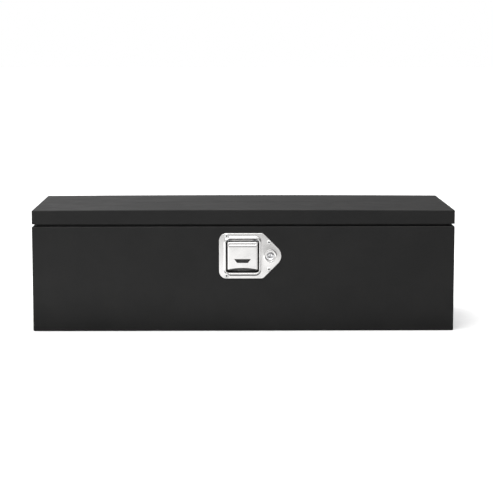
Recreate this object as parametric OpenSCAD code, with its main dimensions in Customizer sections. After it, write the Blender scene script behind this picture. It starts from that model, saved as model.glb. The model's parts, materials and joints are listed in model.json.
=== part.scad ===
// Truck tool box: a welded sheet-steel tub with a hinged lid, two gas struts and a keyed paddle latch.
// Millimetres. +Z is up, +X to the right as seen from the front, and the front faces -Y.
// The origin is under the middle of the whole object, on the surface that it stands on.

/* [Box] */
// Width over the tub and the lid
box_w = 990; // [700:10:1300]
// Depth from the front face to the back face, without the hinge
box_d = 350; // [300:5:500]
// Height of the closed box
box_h = 286; // [270:2:400]
// Height of the lid's skirt
lid_h = 33; // [32:1:45]
// Daylight between the tub's rim and the lid's skirt
lid_gap = 5; // [4:0.5:7]
// Thickness of the body's steel sheet
sheet = 1.5; // [1.2:0.1:2]
// How far the rim's upright lip stands in from the outer face
lip_inset = 9.5; // [8:0.5:10]
// How far the lid opens, in degrees
lid_open = 75; // [60:1:80]

/* [Floor bolts] */
// Distance between the floor's bolt holes along the width
bolt_x = 800; // [500:10:800]
// Distance between the floor's bolt holes along the depth
bolt_y = 200; // [150:10:220]
// Diameter of the floor's bolt holes
bolt_d = 9; // [7:0.5:11]

/* [Latch] */
// Distance of the latch's dish from the box's middle, to the right
latch_x = -2.5; // [-20:0.5:20]
// Height of the latch's centre above the floor
latch_z = 178.5; // [160:0.5:190]
// Width of the dish that the paddle lies in
dish_w = 78; // [74:1:84]
// Height of the dish
dish_h = 80; // [80:1:84]
// Depth of the dish behind the front face
dish_depth = 21; // [20:0.5:22]
// Distance from the dish's centre to the lock's centre
lock_x = 65; // [64:1:70]

/* [Hinge] */
// Number of hinge knuckles, both leaves together
knuckles = 31; // [15:2:41]
// Length of the continuous hinge
hinge_len = 930; // [600:10:930]
// Outer radius of a knuckle
knuckle_r = 4; // [3.5:0.25:4.5]
// Radius of the hinge pin
hinge_pin_r = 2.25; // [1.5:0.25:2.25]

/* [Struts] */
// Distance of a strut's middle plane from the box's middle
strut_in = 30; // [30:1:34]
// Outer radius of a strut's cylinder
strut_r = 7.5; // [6.5:0.25:7.5]
// Radius of a strut's piston rod
rod_r = 4; // [3:0.5:4]

/* [Hidden] */

$fn = 48;
eps = 0.5; // how far a cutter runs past the face that it cuts

// Sheet folds
half_t = sheet / 2;
fold_r = 2.25; // mid-sheet radius of a fold
hem_r = 0.9; // mid-sheet radius of a closed hem
hem_h = 10; // height of the lid's closed hem
bend_steps = 6;

// Heights
tub_h = box_h - lid_h - lid_gap;
lid_z = box_h - lid_h; // underside of the lid's skirt
lid_in = box_h - sheet; // underside of the lid's top
lip_top = box_h - 16;

// The latch's parts, from the front face: negative is proud of it and positive is behind it
gasket_t = 1;
bezel_t = 1.2;
bezel_y = -gasket_t - bezel_t;
bead_w = 5.5;
bead_h = 1.8;
lock_head_t = 2.2;
latch_proud = lock_head_t - bezel_y;

// Where the front and back faces lie, so that the origin is under the middle of everything
half_w = box_w / 2;
hinge_proud = 2 * knuckle_r;
front_y = -box_d / 2 + (latch_proud - hinge_proud) / 2;
back_y = front_y + box_d;
inner_x = half_w - sheet; // inner face of an end wall

// Hinge
hinge_y = back_y + knuckle_r;
hinge_z = tub_h + lid_gap / 2;
knuckle_len = hinge_len / knuckles;
knuckle_gap = 0.4;
leaf_t = 1.5;
leaf_h = 24;
hinge_rivets = 8;
hinge_rivet_pitch = 116;
pin_clear = 0.05;
rivet_clear = 0.05;

// Latch outline, seen from the front, about the dish's centre
plate_left = -55;
plate_half_h = 53.5;
nose_r = 25.7;
nose_tip = lock_x + nose_r * sqrt(2); // where the two slanted sides would meet
shoulder_x = nose_tip - plate_half_h;
plate_corners = [
    [plate_left, -plate_half_h], [shoulder_x, -plate_half_h], [nose_tip, 0],
    [shoulder_x, plate_half_h], [plate_left, plate_half_h]
];
plate_radii = [17, 11, nose_r, 11, 17];
dish_r = 8.5;
dish_clear = 0.8; // room between the dish and the hole in the front wall
rivet_places = [[-37.5, 47], [-37.5, -47], [62, 32], [62, -32]];
rivet_r = 2.3;
rivet_head_r = 5.2;
rivet_head_t = 1.6;

// Paddle
paddle_hw = 35.8;
paddle_top = 33.2;
paddle_bottom = -32.4;
paddle_rise = 4.3; // how far the finger arc lifts the middle of the paddle's lower edge
paddle_y = -3.2;
paddle_t = 1.5;
paddle_flange_d = 17;
paddle_pin_y = 5.5;
paddle_pin_z = 35.5;
paddle_pin_r = 2;
barrel_r = 3.5;
barrel_hw = 25;
tongue_hw = 8;
tongue_tip = 23.5;
tongue_z = 37.4; // underside of the tongue
slot_top = -7.3;
slot_bottom = -16.5;
slot_top_hw = 19.8;
slot_bottom_hw = 12.6;

// Hook and its housing
hook_y = 44;
hook_z = 24;
foot_y = 22.5; // front of the foot that the tongue pushes down
foot_top = 36.2;
foot_t = 3.5;
hook_pin_r = 3;
hook_t = 5;
window_hw = 10;
window_z = [21, 40.5];
cheek_x = 13;
cheek_t = 2;

// Striker
striker_y = 46;
striker_z = 57;
striker_r = 3;
striker_hw = 14;

// Lock
barrel_body_r = 8.7;
lock_head_r = 9.4;
plug_r = 6;
barrel_end = 11;
cam_y = 11.4;
cam_t = 2;
cam_len = 28.5;
cam_hw = 5;

// Gas struts: u runs forward from the hinge pin and v up from it
stud_u = 100;
stud_v = 14;
base_u = 72;
base_v = -152;
opened_u = stud_u * cos(lid_open) - stud_v * sin(lid_open);
opened_v = stud_u * sin(lid_open) + stud_v * cos(lid_open);
strut_closed = norm([stud_u - base_u, stud_v - base_v]);
strut_stroke = norm([opened_u - base_u, opened_v - base_v]) - strut_closed;
strut_lean = atan2(stud_u - base_u, stud_v - base_v);
strut_x = half_w - strut_in;
ball_r = 4;
socket_r = 7;
socket_back = 5.5; // from the ball's centre to the socket's closed side
socket_mouth = 5; // from the ball's centre to the socket's open side
stud_seat = 8; // from the ball's centre to the bracket's face
stud_flange_t = 2;
bracket_t = 2;
tube_start = 16;
tube_end = strut_closed - 27;

// ---------- Outlines ----------

function unit(v) = v / norm(v);
function left_of(v) = [-v[1], v[0]];
function turned(v, a) = [v[0] * cos(a) - v[1] * sin(a), v[0] * sin(a) + v[1] * cos(a)];
function turn_between(a, b) = atan2(a[0] * b[1] - a[1] * b[0], a * b);
function backwards(list) = [for (i = [len(list) - 1:-1:0]) list[i]];

// The corner p-q-s rounded to radius r, on a line shifted to the left by off
function corner(p, q, s, r, off = 0) =
    let (
        d1 = unit(q - p),
        d2 = unit(s - q),
        a = turn_between(d1, d2),
        side = sign(a),
        centre = q - d1 * r * tan(abs(a) / 2) + left_of(d1) * side * r,
        steps = max(bend_steps, ceil(r * abs(a) / 90))
    )
    [for (i = [0:steps]) centre - turned(left_of(d1), a * i / steps) * side * (r - side * off)];

// A closed outline with rounded corners, counter-clockwise, so that a positive off shrinks it
function rounded(points, radii, off = 0) =
    let (n = len(points))
    [for (i = [0:n - 1]) each corner(points[(i + n - 1) % n], points[i], points[(i + 1) % n], radii[i], off)];

// One side of a folded sheet whose middle follows points, with a fold radius for each inner point
function folded_side(points, radii, off) =
    let (n = len(points))
    concat(
        [points[0] + left_of(unit(points[1] - points[0])) * off],
        [for (i = [1:n - 2]) each corner(points[i - 1], points[i], points[i + 1], radii[i - 1], off)],
        [points[n - 1] + left_of(unit(points[n - 1] - points[n - 2])) * off]
    );

module folded(points, radii, t = sheet)
    polygon(concat(folded_side(points, radii, t / 2), backwards(folded_side(points, radii, -t / 2))));

module rounded_rect(w, h, r)
    polygon(rounded([[-w / 2, -h / 2], [w / 2, -h / 2], [w / 2, h / 2], [-w / 2, h / 2]], [r, r, r, r]));

// The dish's opening in the latch plate, grown by extra on every side
module dish_outline(extra = 0) rounded_rect(dish_w + 2 * extra, dish_h + 2 * extra, dish_r + extra);

// ---------- Placing ----------

// An outline in (y, z), drawn out along X from x0 to x1
module along_x(x0, x1) translate([x0, 0, 0]) rotate([90, 0, 90]) linear_extrude(x1 - x0) children();

// An outline in (x, z), drawn out along Y from y0 to y1
module along_y(y0, y1) translate([0, y1, 0]) rotate([90, 0, 0]) linear_extrude(y1 - y0) children();

module rod_x(x0, x1, r) translate([x0, 0, 0]) rotate([0, 90, 0]) cylinder(r = r, h = x1 - x0);
module rod_y(y0, y1, r) translate([0, y0, 0]) rotate([-90, 0, 0]) cylinder(r = r, h = y1 - y0);
module hex_x(x0, x1, r) translate([x0, 0, 0]) rotate([0, 90, 0]) cylinder(r = r, h = x1 - x0, $fn = 6);
module hex_y(y0, y1, r) translate([0, y0, 0]) rotate([-90, 0, 0]) cylinder(r = r, h = y1 - y0, $fn = 6);
module at_latch() translate([latch_x, front_y, latch_z]) children();
module at_lock() at_latch() translate([lock_x, 0, 0]) children();
module left_side() mirror([1, 0, 0]) children();

// ---------- Tub ----------

// The part of each end that the end panel fills: a plain edge under the rim and mitred corners at it
module end_zone() {
    deep = lip_inset + 2 * sheet;
    translate([0, 0, sheet]) linear_extrude(box_h)
        polygon([
            [half_w + eps, front_y + sheet], [half_w + eps, back_y - sheet], [inner_x, back_y - sheet],
            [half_w - deep, back_y - deep], [half_w - deep, front_y + deep], [inner_x, front_y + sheet]
        ]);
}

module dish_hole()
    at_latch() along_y(-eps, sheet + eps)
        dish_outline(bezel_t + dish_clear);

module latch_rivet_holes(y0, y1)
    at_latch() for (p = rivet_places) translate([p[0], 0, p[1]]) rod_y(y0, y1, rivet_r + rivet_clear);

module hinge_rivet_holes(z)
    for (i = [0:hinge_rivets - 1])
        translate([(i - (hinge_rivets - 1) / 2) * hinge_rivet_pitch, 0, z])
            rod_y(back_y - 2 * sheet, back_y + leaf_t + eps, rivet_r + rivet_clear);

module tub_wrapper() color([0.13, 0.13, 0.135]) {
    lip = lip_inset + half_t;
    rim = tub_h - half_t;
    difference() {
        along_x(-half_w, half_w) folded(
            [
                [front_y + lip, lip_top], [front_y + lip, rim], [front_y + half_t, rim],
                [front_y + half_t, half_t], [back_y - half_t, half_t],
                [back_y - half_t, rim], [back_y - lip, rim], [back_y - lip, lip_top]
            ],
            [fold_r, fold_r, fold_r, fold_r, fold_r, fold_r]
        );
        end_zone();
        left_side() end_zone();
        dish_hole();
        at_lock() rod_y(-eps, sheet + eps, barrel_body_r + 0.3);
        latch_rivet_holes(-eps, sheet + eps);
        hinge_rivet_holes(tub_h - 17);
        for (x = [-1, 1], y = [-1, 1])
            translate([x * bolt_x / 2, (front_y + back_y) / 2 + y * bolt_y / 2, -eps])
                cylinder(d = bolt_d, h = sheet + 2 * eps);
    }
}

module tub_end() color([0.13, 0.13, 0.135]) {
    lip = lip_inset + half_t;
    rim = tub_h - half_t;
    difference() {
        intersection() {
            along_y(front_y, back_y) folded(
                [
                    [half_w - half_t, sheet], [half_w - half_t, rim],
                    [half_w - lip, rim], [half_w - lip, lip_top]
                ],
                [fold_r, fold_r]
            );
            end_zone();
        }
        for (z = [-21, 21]) translate([inner_x - eps, base_at()[0], base_at()[1] + z])
            rod_x(0, sheet + 2 * eps, rivet_r + rivet_clear);
    }
}

// A mitred rectangular ring, with its section given as [distance in from the outer faces, height]
module mitred_ring(section) {
    n = len(section);
    points = [
        for (c = [[-1, front_y, 1], [1, front_y, 1], [1, back_y, -1], [-1, back_y, -1]], s = section)
            [c[0] * (half_w - s[0]), c[1] + c[2] * s[0], s[1]]
    ];
    faces = [
        for (k = [0:3], i = [0:n - 1])
            let (a = k * n, b = ((k + 1) % 4) * n, j = (i + 1) % n) [a + i, b + i, b + j, a + j]
    ];
    polyhedron(points, faces);
}

// The rubber edge trim that grips the rim's lip, with the bulb that the lid shuts on
module rim_seal() color([0.03, 0.03, 0.03]) {
    grip = 2.1;
    fit = 0.1;
    depth = 13;
    bulb_r = 5.6;
    mid = lip_inset + half_t;
    outer = half_t + fit + grip;
    inner = half_t + fit;
    neck = lip_top + fit + 1.6;
    bulb_z = lid_in - 0.3 - bulb_r;
    mitred_ring(concat(
        [
            [mid + inner, lip_top + fit], [mid + inner, lip_top - depth],
            [mid + outer, lip_top - depth], [mid + outer, neck]
        ],
        [for (a = [-50:20:230]) [mid + bulb_r * cos(a), bulb_z + bulb_r * sin(a)]],
        [
            [mid - outer, neck], [mid - outer, lip_top - depth],
            [mid - inner, lip_top - depth], [mid - inner, lip_top + fit]
        ]
    ));
}

// ---------- Lid ----------

module lid_shell() color([0.13, 0.13, 0.135]) {
    top = box_h - half_t;
    low = lid_z + half_t;
    hem = 2 * hem_r;
    deep = lip_inset + 2 * sheet;
    radii = [hem_r, hem_r, fold_r, fold_r, hem_r, hem_r];
    difference() {
        union() {
            difference() {
                along_x(-half_w, half_w) folded(
                    [
                        [front_y + half_t + hem, lid_z + hem_h], [front_y + half_t + hem, low],
                        [front_y + half_t, low], [front_y + half_t, top],
                        [back_y - half_t, top], [back_y - half_t, low],
                        [back_y - half_t - hem, low], [back_y - half_t - hem, lid_z + hem_h]
                    ],
                    radii
                );
                for (side = [-1, 1]) translate([0, 0, lid_z - eps]) linear_extrude(lid_h + 2 * eps)
                    lid_end_outline(side, deep);
            }
            for (side = [-1, 1]) intersection() {
                along_y(front_y, back_y) folded(
                    [
                        [side * (half_w - half_t - hem), lid_z + hem_h],
                        [side * (half_w - half_t - hem), low],
                        [side * (half_w - half_t), low], [side * (half_w - half_t), top],
                        [side * (half_w - 2 * deep), top]
                    ],
                    [hem_r, hem_r, fold_r]
                );
                translate([0, 0, lid_z - eps]) linear_extrude(lid_h + 2 * eps) lid_end_outline(side, deep);
            }
        }
        hinge_rivet_holes(hinge_z + 19);
    }
}

// The lid's mitred end strip
module lid_end_outline(side, deep)
    polygon([
        [side * half_w, front_y], [side * half_w, back_y],
        [side * (half_w - deep), back_y - deep], [side * (half_w - deep), front_y + deep]
    ]);

// The hat-section channel welded along the underside of the lid's top
module lid_stiffener() color([0.13, 0.13, 0.135]) {
    t = 1.2;
    cap_hw = 16;
    cap_drop = 17;
    flange = 14;
    mid = (front_y + back_y) / 2;
    top = lid_in - t / 2;
    along_x(-430, 430) folded(
        [
            [mid - cap_hw - 6 - flange, top], [mid - cap_hw - 6, top], [mid - cap_hw, top - cap_drop],
            [mid + cap_hw, top - cap_drop], [mid + cap_hw + 6, top], [mid + cap_hw + 6 + flange, top]
        ],
        [2, 2, 2, 2], t
    );
}

// ---------- Hinge ----------

// One leaf of the continuous hinge: up is 1 on the lid and -1 on the tub, and first is its first knuckle
module hinge_leaf(up, first) color([0.16, 0.16, 0.165]) {
    clear = knuckle_r + 0.6;
    difference() {
        union() {
            for (i = [first:2:knuckles - 1])
                translate([-hinge_len / 2 + i * knuckle_len + knuckle_gap / 2, hinge_y, hinge_z]) {
                    rod_x(0, knuckle_len - knuckle_gap, knuckle_r);
                    translate([0, -knuckle_r, up > 0 ? knuckle_r * 0.2 : -clear - eps])
                        cube([knuckle_len - knuckle_gap, leaf_t, clear + eps - knuckle_r * 0.2]);
                }
            translate([-hinge_len / 2, back_y, up > 0 ? hinge_z + clear : hinge_z - clear - leaf_h])
                cube([hinge_len, leaf_t, leaf_h]);
        }
        translate([0, hinge_y, hinge_z])
            rod_x(-hinge_len / 2 - eps, hinge_len / 2 + eps, hinge_pin_r + pin_clear);
        hinge_rivet_holes(up > 0 ? hinge_z + 19 : tub_h - 17);
    }
}

module hinge_pin() color([0.6, 0.6, 0.62])
    translate([0, hinge_y, hinge_z]) rod_x(-hinge_len / 2 - 1, hinge_len / 2 + 1, hinge_pin_r);

// A rivet through sheet from y0 to y1, with a domed head towards +Y and a set tail towards -Y
module rivet_y(y0, y1) {
    rod_y(y0, y1, rivet_r);
    translate([0, y1, 0]) rotate([-90, 0, 0]) cylinder(r1 = 4.4, r2 = 2.9, h = 1.4);
    rod_y(y0 - 1.2, y0, 3.8);
}

module hinge_rivets(z) color([0.6, 0.6, 0.62])
    for (i = [0:hinge_rivets - 1])
        translate([(i - (hinge_rivets - 1) / 2) * hinge_rivet_pitch, 0, z])
            rivet_y(back_y - sheet, back_y + leaf_t);

// ---------- Latch ----------

module plate_outline(off = 0) polygon(rounded(plate_corners, plate_radii, off));

module latch_gasket() color([0.03, 0.03, 0.03]) difference() {
    at_latch() along_y(-gasket_t, 0) plate_outline(1.5);
    at_latch() along_y(-gasket_t - eps, eps) dish_outline(bezel_t + 0.2);
    at_lock() rod_y(-gasket_t - eps, eps, barrel_body_r + 0.3);
    latch_rivet_holes(-gasket_t - eps, eps);
}

// The opening behind the paddle that the hook's foot works through, in a wall from y on, t thick
module window(y, t)
    translate([-window_hw, y - eps, window_z[0]])
        cube([2 * window_hw, t + 2 * eps, window_z[1] - window_z[0]]);

// The stainless plate with its bead and its drawn dish
module latch_bezel() color([0.8, 0.8, 0.82]) at_latch() difference() {
    union() {
        difference() {
            along_y(bezel_y, -gasket_t) plate_outline();
            along_y(bezel_y - eps, eps) dish_outline(bezel_t);
        }
        difference() {
            along_y(bezel_y - bead_h, dish_depth) dish_outline(bezel_t);
            along_y(bezel_y - bead_h - eps, dish_depth - bezel_t) dish_outline();
        }
        difference() {
            along_y(bezel_y - bead_h, bezel_y) dish_outline(bead_w);
            along_y(bezel_y - bead_h - eps, bezel_y + eps) dish_outline(bezel_t);
            for (p = rivet_places) translate([p[0], 0, p[1]])
                rod_y(bezel_y - bead_h - eps, bezel_y, rivet_head_r + 0.4);
        }
        translate([lock_x, 0, 0]) difference() {
            rod_y(bezel_y - 0.8, bezel_y, 14);
            rod_y(bezel_y - 0.8 - eps, bezel_y + eps, 11.5);
        }
    }
    for (p = rivet_places) translate([p[0], 0, p[1]]) rod_y(bezel_y - eps, eps, rivet_r + rivet_clear);
    translate([lock_x, 0, 0]) rod_y(bezel_y - eps, eps, barrel_body_r + pin_clear);
    translate([0, paddle_pin_y, paddle_pin_z]) rod_x(-dish_w, dish_w, paddle_pin_r + pin_clear);
    window(dish_depth - bezel_t, bezel_t);
    translate([dish_w / 2 - eps, cam_y - 0.5, -22]) cube([bezel_t + 2 * eps, cam_t + 1, 28.5]);
}

// Blind rivets, with the hollow that the mandrel leaves in the head
module latch_rivets() color([0.75, 0.75, 0.77]) at_latch()
    for (p = rivet_places) translate([p[0], 0, p[1]]) difference() {
        union() {
            translate([0, bezel_y, 0]) rotate([90, 0, 0])
                cylinder(r1 = rivet_head_r, r2 = rivet_head_r - 1.9, h = rivet_head_t);
            rod_y(bezel_y, sheet, rivet_r);
            rod_y(sheet, sheet + 3.2, 3.6);
        }
        rod_y(bezel_y - rivet_head_t - eps, bezel_y + 0.6, 1.3);
    }

// The bracket behind the dish that carries the hook
module latch_housing() color([0.6, 0.6, 0.62]) at_latch() difference() {
    union() {
        translate([-cheek_x - cheek_t, dish_depth, 10]) cube([2 * (cheek_x + cheek_t), cheek_t, 36]);
        for (side = [-1, 1])
            along_x(side > 0 ? cheek_x : -cheek_x - cheek_t, side > 0 ? cheek_x + cheek_t : -cheek_x)
                polygon([
                    [dish_depth, 12], [hook_y + 5, hook_z - 9], [hook_y + 8, hook_z - 4],
                    [hook_y + 8, hook_z + 6], [hook_y, hook_z + 12], [dish_depth, 44]
                ]);
    }
    window(dish_depth, cheek_t);
    translate([0, hook_y, hook_z]) rod_x(-cheek_x * 2, cheek_x * 2, hook_pin_r + pin_clear);
}

module headed_pin(hw, r, head_r, head_t) {
    rod_x(-hw, hw, r);
    rod_x(hw, hw + head_t, head_r);
    rod_x(-hw - head_t, -hw, head_r);
}

module paddle_pin() color([0.7, 0.7, 0.72]) at_latch()
    translate([0, paddle_pin_y, paddle_pin_z]) headed_pin(dish_w / 2 + bezel_t, paddle_pin_r, 3.2, 1.2);

module hook_pin() color([0.7, 0.7, 0.72]) at_latch()
    translate([0, hook_y, hook_z]) headed_pin(cheek_x + cheek_t, hook_pin_r, 4.4, 1.5);

// Round wire along a path whose direction is never along X
module wire(path, r, sides = 8) {
    n = len(path);
    points = [
        for (i = [0:n - 1])
            let (
                along = unit(path[min(i + 1, n - 1)] - path[max(i - 1, 0)]),
                a = unit(cross(along, [1, 0, 0])),
                b = cross(along, a)
            )
            for (k = [0:sides - 1]) path[i] + r * (a * cos(360 * k / sides) + b * sin(360 * k / sides))
    ];
    faces = concat(
        [[for (k = [0:sides - 1]) k]],
        [
            for (i = [0:n - 2], k = [0:sides - 1])
                let (j = (k + 1) % sides)
                [i * sides + k, (i + 1) * sides + k, (i + 1) * sides + j, i * sides + j]
        ],
        [[for (k = [sides - 1:-1:0]) (n - 1) * sides + k]]
    );
    polyhedron(points, faces);
}

// A torsion spring about X: turns coils from angle a0, with straight legs that leave each end on a tangent
function coil_point(a, r, x) = [x, r * cos(a), r * sin(a)];
function spring_path(r, x0, pitch, turns, a0, leg1, leg2) =
    let (
        steps = 16,
        a1 = a0 + 360 * turns,
        x1 = x0 + pitch * turns,
        t0 = [0, -sin(a0), cos(a0)],
        t1 = [0, -sin(a1), cos(a1)]
    )
    concat(
        [coil_point(a0, r, x0) - t0 * leg1],
        [for (i = [0:steps * turns]) coil_point(a0 + 360 * i / steps, r, x0 + pitch * i / steps)],
        [coil_point(a1, r, x1) + t1 * leg2]
    );

module paddle_springs() color([0.65, 0.65, 0.67]) at_latch() translate([0, paddle_pin_y, paddle_pin_z]) {
    coil = spring_path(3.1, 26.2, 1.35, 4.3125, 45, 15.8, 9);
    wire(coil, 0.6);
    left_side() wire(coil, 0.6);
}

module hook_spring() color([0.65, 0.65, 0.67]) at_latch() translate([0, hook_y, hook_z])
    wire(spring_path(4.4, 3.6, 1.7, 4.625, 234, 19, 20), 0.75);

// ---------- Paddle ----------

module latch_paddle() color([0.85, 0.85, 0.87]) at_latch() {
    arc_r = (paddle_hw * paddle_hw + paddle_rise * paddle_rise) / (2 * paddle_rise);
    face_y = paddle_y + paddle_t;
    difference() {
        union() {
            along_y(paddle_y, face_y)
                polygon(rounded(
                    [
                        [-paddle_hw, paddle_bottom], [paddle_hw, paddle_bottom],
                        [paddle_hw, paddle_top], [-paddle_hw, paddle_top]
                    ],
                    [1.5, 1.5, 2.5, 2.5]
                ));
            for (side = [-1, 1])
                translate([side * (paddle_hw - paddle_t / 2), 0, 0]) along_x(-paddle_t / 2, paddle_t / 2)
                    polygon([
                        [paddle_y, paddle_bottom + 2], [2, paddle_bottom + 2], [paddle_flange_d, -18],
                        [paddle_flange_d, 20], [2, paddle_top - 2.5], [paddle_y, paddle_top - 2.5]
                    ]);
            translate([-barrel_hw, paddle_y, paddle_top - 1.5])
                cube([2 * barrel_hw, paddle_pin_y - paddle_y - 1, 2]);
            translate([0, paddle_pin_y, paddle_pin_z]) rod_x(-barrel_hw, barrel_hw, barrel_r);
            translate([-tongue_hw, paddle_pin_y, tongue_z])
                cube([2 * tongue_hw, tongue_tip - paddle_pin_y, 1.5]);
            along_y(face_y - eps, 8)
                polygon([[-17, slot_top], [17, slot_top], [14, slot_top + 1.5], [-14, slot_top + 1.5]]);
        }
        translate([0, 0, paddle_bottom + paddle_rise - arc_r])
            rod_y(paddle_y - eps, face_y + eps, arc_r, $fn = 200);
        translate([0, paddle_pin_y, paddle_pin_z])
            rod_x(-barrel_hw - eps, barrel_hw + eps, paddle_pin_r + pin_clear);
        along_y(paddle_y - eps, face_y + eps)
            polygon(rounded(
                [
                    [-slot_bottom_hw, slot_bottom], [slot_bottom_hw, slot_bottom],
                    [slot_top_hw, slot_top], [-slot_top_hw, slot_top]
                ],
                [3, 3, 0.6, 0.6]
            ));
        translate([0, cam_y + cam_t / 2, 0])
            cube([3 * paddle_hw, cam_t + 0.8, 2 * cam_hw + 2], center = true);
    }
}

// ---------- Hook ----------

module latch_hook() color([0.6, 0.6, 0.62]) at_latch() difference() {
    nose_y = striker_y - striker_r - 1;
    nose_z = striker_z + striker_r + 1;
    throat = nose_y - 1;
    union() {
        along_x(-hook_t / 2, hook_t / 2)
            polygon([
                [hook_y - 4, hook_z - 5.5], [hook_y + 6, hook_z - 3], [hook_y + 6, hook_z + 5],
                [throat - 1, 46], [throat - 3, 50], [throat - 3, nose_z - 1.5], [throat - 1.5, nose_z],
                [nose_y, nose_z], [nose_y, nose_z + 1.5], [nose_y - 4, nose_z + 7],
                [nose_y - 8, nose_z + 7], [nose_y - 10, nose_z + 3], [nose_y - 10, 46],
                [nose_y - 9, foot_top], [foot_y, foot_top], [foot_y, foot_top - foot_t]
            ]);
        translate([0, hook_y, hook_z]) rod_x(-hook_t / 2, hook_t / 2, 7);
        translate([-6.5, foot_y, foot_top - foot_t]) cube([13, 6, foot_t]);
    }
    translate([0, hook_y, hook_z]) rod_x(-hook_t, hook_t, hook_pin_r + pin_clear);
}

// ---------- Lock ----------

module lock_barrel() color([0.8, 0.8, 0.82]) at_lock() difference() {
    union() {
        rod_y(bezel_y - lock_head_t, bezel_y, lock_head_r);
        rod_y(bezel_y, barrel_end, barrel_body_r);
    }
    rod_y(bezel_y - lock_head_t - eps, barrel_end + eps, plug_r + pin_clear);
}

module lock_nut() color([0.7, 0.7, 0.72]) at_lock() difference() {
    hex_y(sheet, sheet + 4, 13);
    rod_y(0, 8, barrel_body_r + pin_clear);
}

module lock_plug() color([0.75, 0.75, 0.77]) at_lock() difference() {
    union() {
        rod_y(bezel_y - lock_head_t + 0.3, cam_y - 0.2, plug_r);
        translate([-3, cam_y - 0.4, -3]) cube([6, cam_t + 0.2, 6]);
    }
    translate([-0.9, bezel_y - lock_head_t - eps, -4.4]) cube([1.8, 8, 8.8]);
    rod_y(cam_y - 6, cam_y + 2 * cam_t, 1.6 + pin_clear);
}

module lock_cam() color([0.7, 0.7, 0.72]) at_lock() difference() {
    union() {
        rod_y(cam_y, cam_y + cam_t, 7);
        along_y(cam_y, cam_y + cam_t)
            polygon(rounded(
                [[-cam_hw, -cam_len], [cam_hw, -cam_len], [cam_hw, 0], [-cam_hw, 0]],
                [2, 2, 1, 1]
            ));
    }
    translate([-3.05, cam_y - eps, -3.05]) cube([6.1, cam_t + 2 * eps, 6.1]);
}

module cam_screw() color([0.7, 0.7, 0.72]) at_lock() {
    rod_y(cam_y - 5, cam_y + cam_t, 1.6);
    rod_y(cam_y + cam_t, cam_y + cam_t + 2.2, 5);
}

// ---------- Striker on the lid ----------

// A hat bracket under the lid's top, with the U-bolt that the hook catches
module striker_bracket() color([0.13, 0.13, 0.135]) translate([latch_x, 0, 0]) {
    cap_z = lid_in - 21;
    y = front_y + striker_y;
    difference() {
        along_x(-32, 32) folded(
            [
                [y - 22, lid_in - 1], [y - 12, lid_in - 1], [y - 12, cap_z], [y + 12, cap_z],
                [y + 12, lid_in - 1], [y + 22, lid_in - 1]
            ],
            [2, 2, 2, 2], 2
        );
        for (side = [-1, 1])
            translate([side * striker_hw, y, cap_z - 3]) cylinder(r = striker_r + 0.1, h = 6);
    }
}

module striker_loop() color([0.7, 0.7, 0.72]) translate([latch_x, front_y + striker_y, latch_z + striker_z]) {
    turn_r = 7;
    rod_x(-striker_hw + turn_r, striker_hw - turn_r, striker_r);
    for (side = [0, 1]) mirror([side, 0, 0]) {
        translate([striker_hw - turn_r, 0, turn_r]) rotate([90, 0, 0]) rotate([0, 0, -90])
            rotate_extrude(angle = 90) translate([turn_r, 0]) circle(r = striker_r);
        translate([striker_hw, 0, turn_r])
            cylinder(r = striker_r, h = lid_in - 11 - latch_z - striker_z - turn_r);
    }
}

module striker_nuts() color([0.7, 0.7, 0.72]) translate([latch_x, 0, 0]) {
    cap_z = lid_in - 21;
    for (side = [-1, 1], z = [cap_z + 1, cap_z - 6])
        translate([side * striker_hw, front_y + striker_y, z]) difference() {
            cylinder(r = 5.8, h = 5, $fn = 6);
            translate([0, 0, -eps]) cylinder(r = striker_r + pin_clear, h = 5 + 2 * eps);
        }
}

// ---------- Gas struts, drawn for the right side ----------

function base_at() = [hinge_y - base_u, hinge_z + base_v];
function stud_at() = [hinge_y - stud_u, hinge_z + stud_v];

// Local frame of a strut: its lower ball at the origin and its axis along +Z
module along_strut() translate([strut_x, base_at()[0], base_at()[1]]) rotate([strut_lean, 0, 0]) children();

// A ball on a flanged neck, with the ball at the origin and the bracket towards +X
module ball_stud(shank) {
    rotate([0, 90, 0]) sphere(r = ball_r);
    rod_x(0, stud_seat - stud_flange_t, 2.4);
    hex_x(stud_seat - stud_flange_t, stud_seat - shank, 5.2);
}

// A socket that grips the ball at the origin and reaches up the strut to the given height
module socket(reach) difference() {
    union() {
        rod_x(-socket_back, socket_mouth, socket_r);
        cylinder(r = 4.6, h = reach);
    }
    rotate([0, 90, 0]) sphere(r = ball_r + 0.15);
    rod_x(0, socket_mouth + eps, 3.5);
}

module strut_cylinder() color([0.08, 0.08, 0.085]) along_strut() difference() {
    translate([0, 0, tube_start]) cylinder(r = strut_r, h = tube_end - tube_start);
    translate([0, 0, tube_start + 2]) cylinder(r = strut_r - 1.2, h = tube_end - tube_start - 6);
    translate([0, 0, tube_end - 6]) cylinder(r = rod_r + 0.1, h = 7);
}

module strut_socket_lower() color([0.08, 0.08, 0.085]) along_strut() socket(tube_start);

module strut_rod() color([0.8, 0.8, 0.82]) along_strut()
    translate([0, 0, tube_start + 18]) cylinder(r = rod_r, h = strut_closed - 16 - tube_start - 18);

module strut_piston() color([0.5, 0.5, 0.52]) along_strut()
    translate([0, 0, tube_start + 8]) cylinder(r = strut_r - 1.3, h = 10);

module strut_socket_upper() color([0.08, 0.08, 0.085]) along_strut()
    translate([0, 0, strut_closed]) mirror([0, 0, 1]) socket(16);

module strut_stud_lid() color([0.75, 0.75, 0.77])
    translate([strut_x, stud_at()[0], stud_at()[1]]) ball_stud(0.3);

module strut_stud_tub() color([0.75, 0.75, 0.77]) translate([strut_x, base_at()[0], base_at()[1]]) {
    ball_stud(0);
    rod_x(stud_seat, stud_seat + bracket_t + 5, 3);
}

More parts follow.
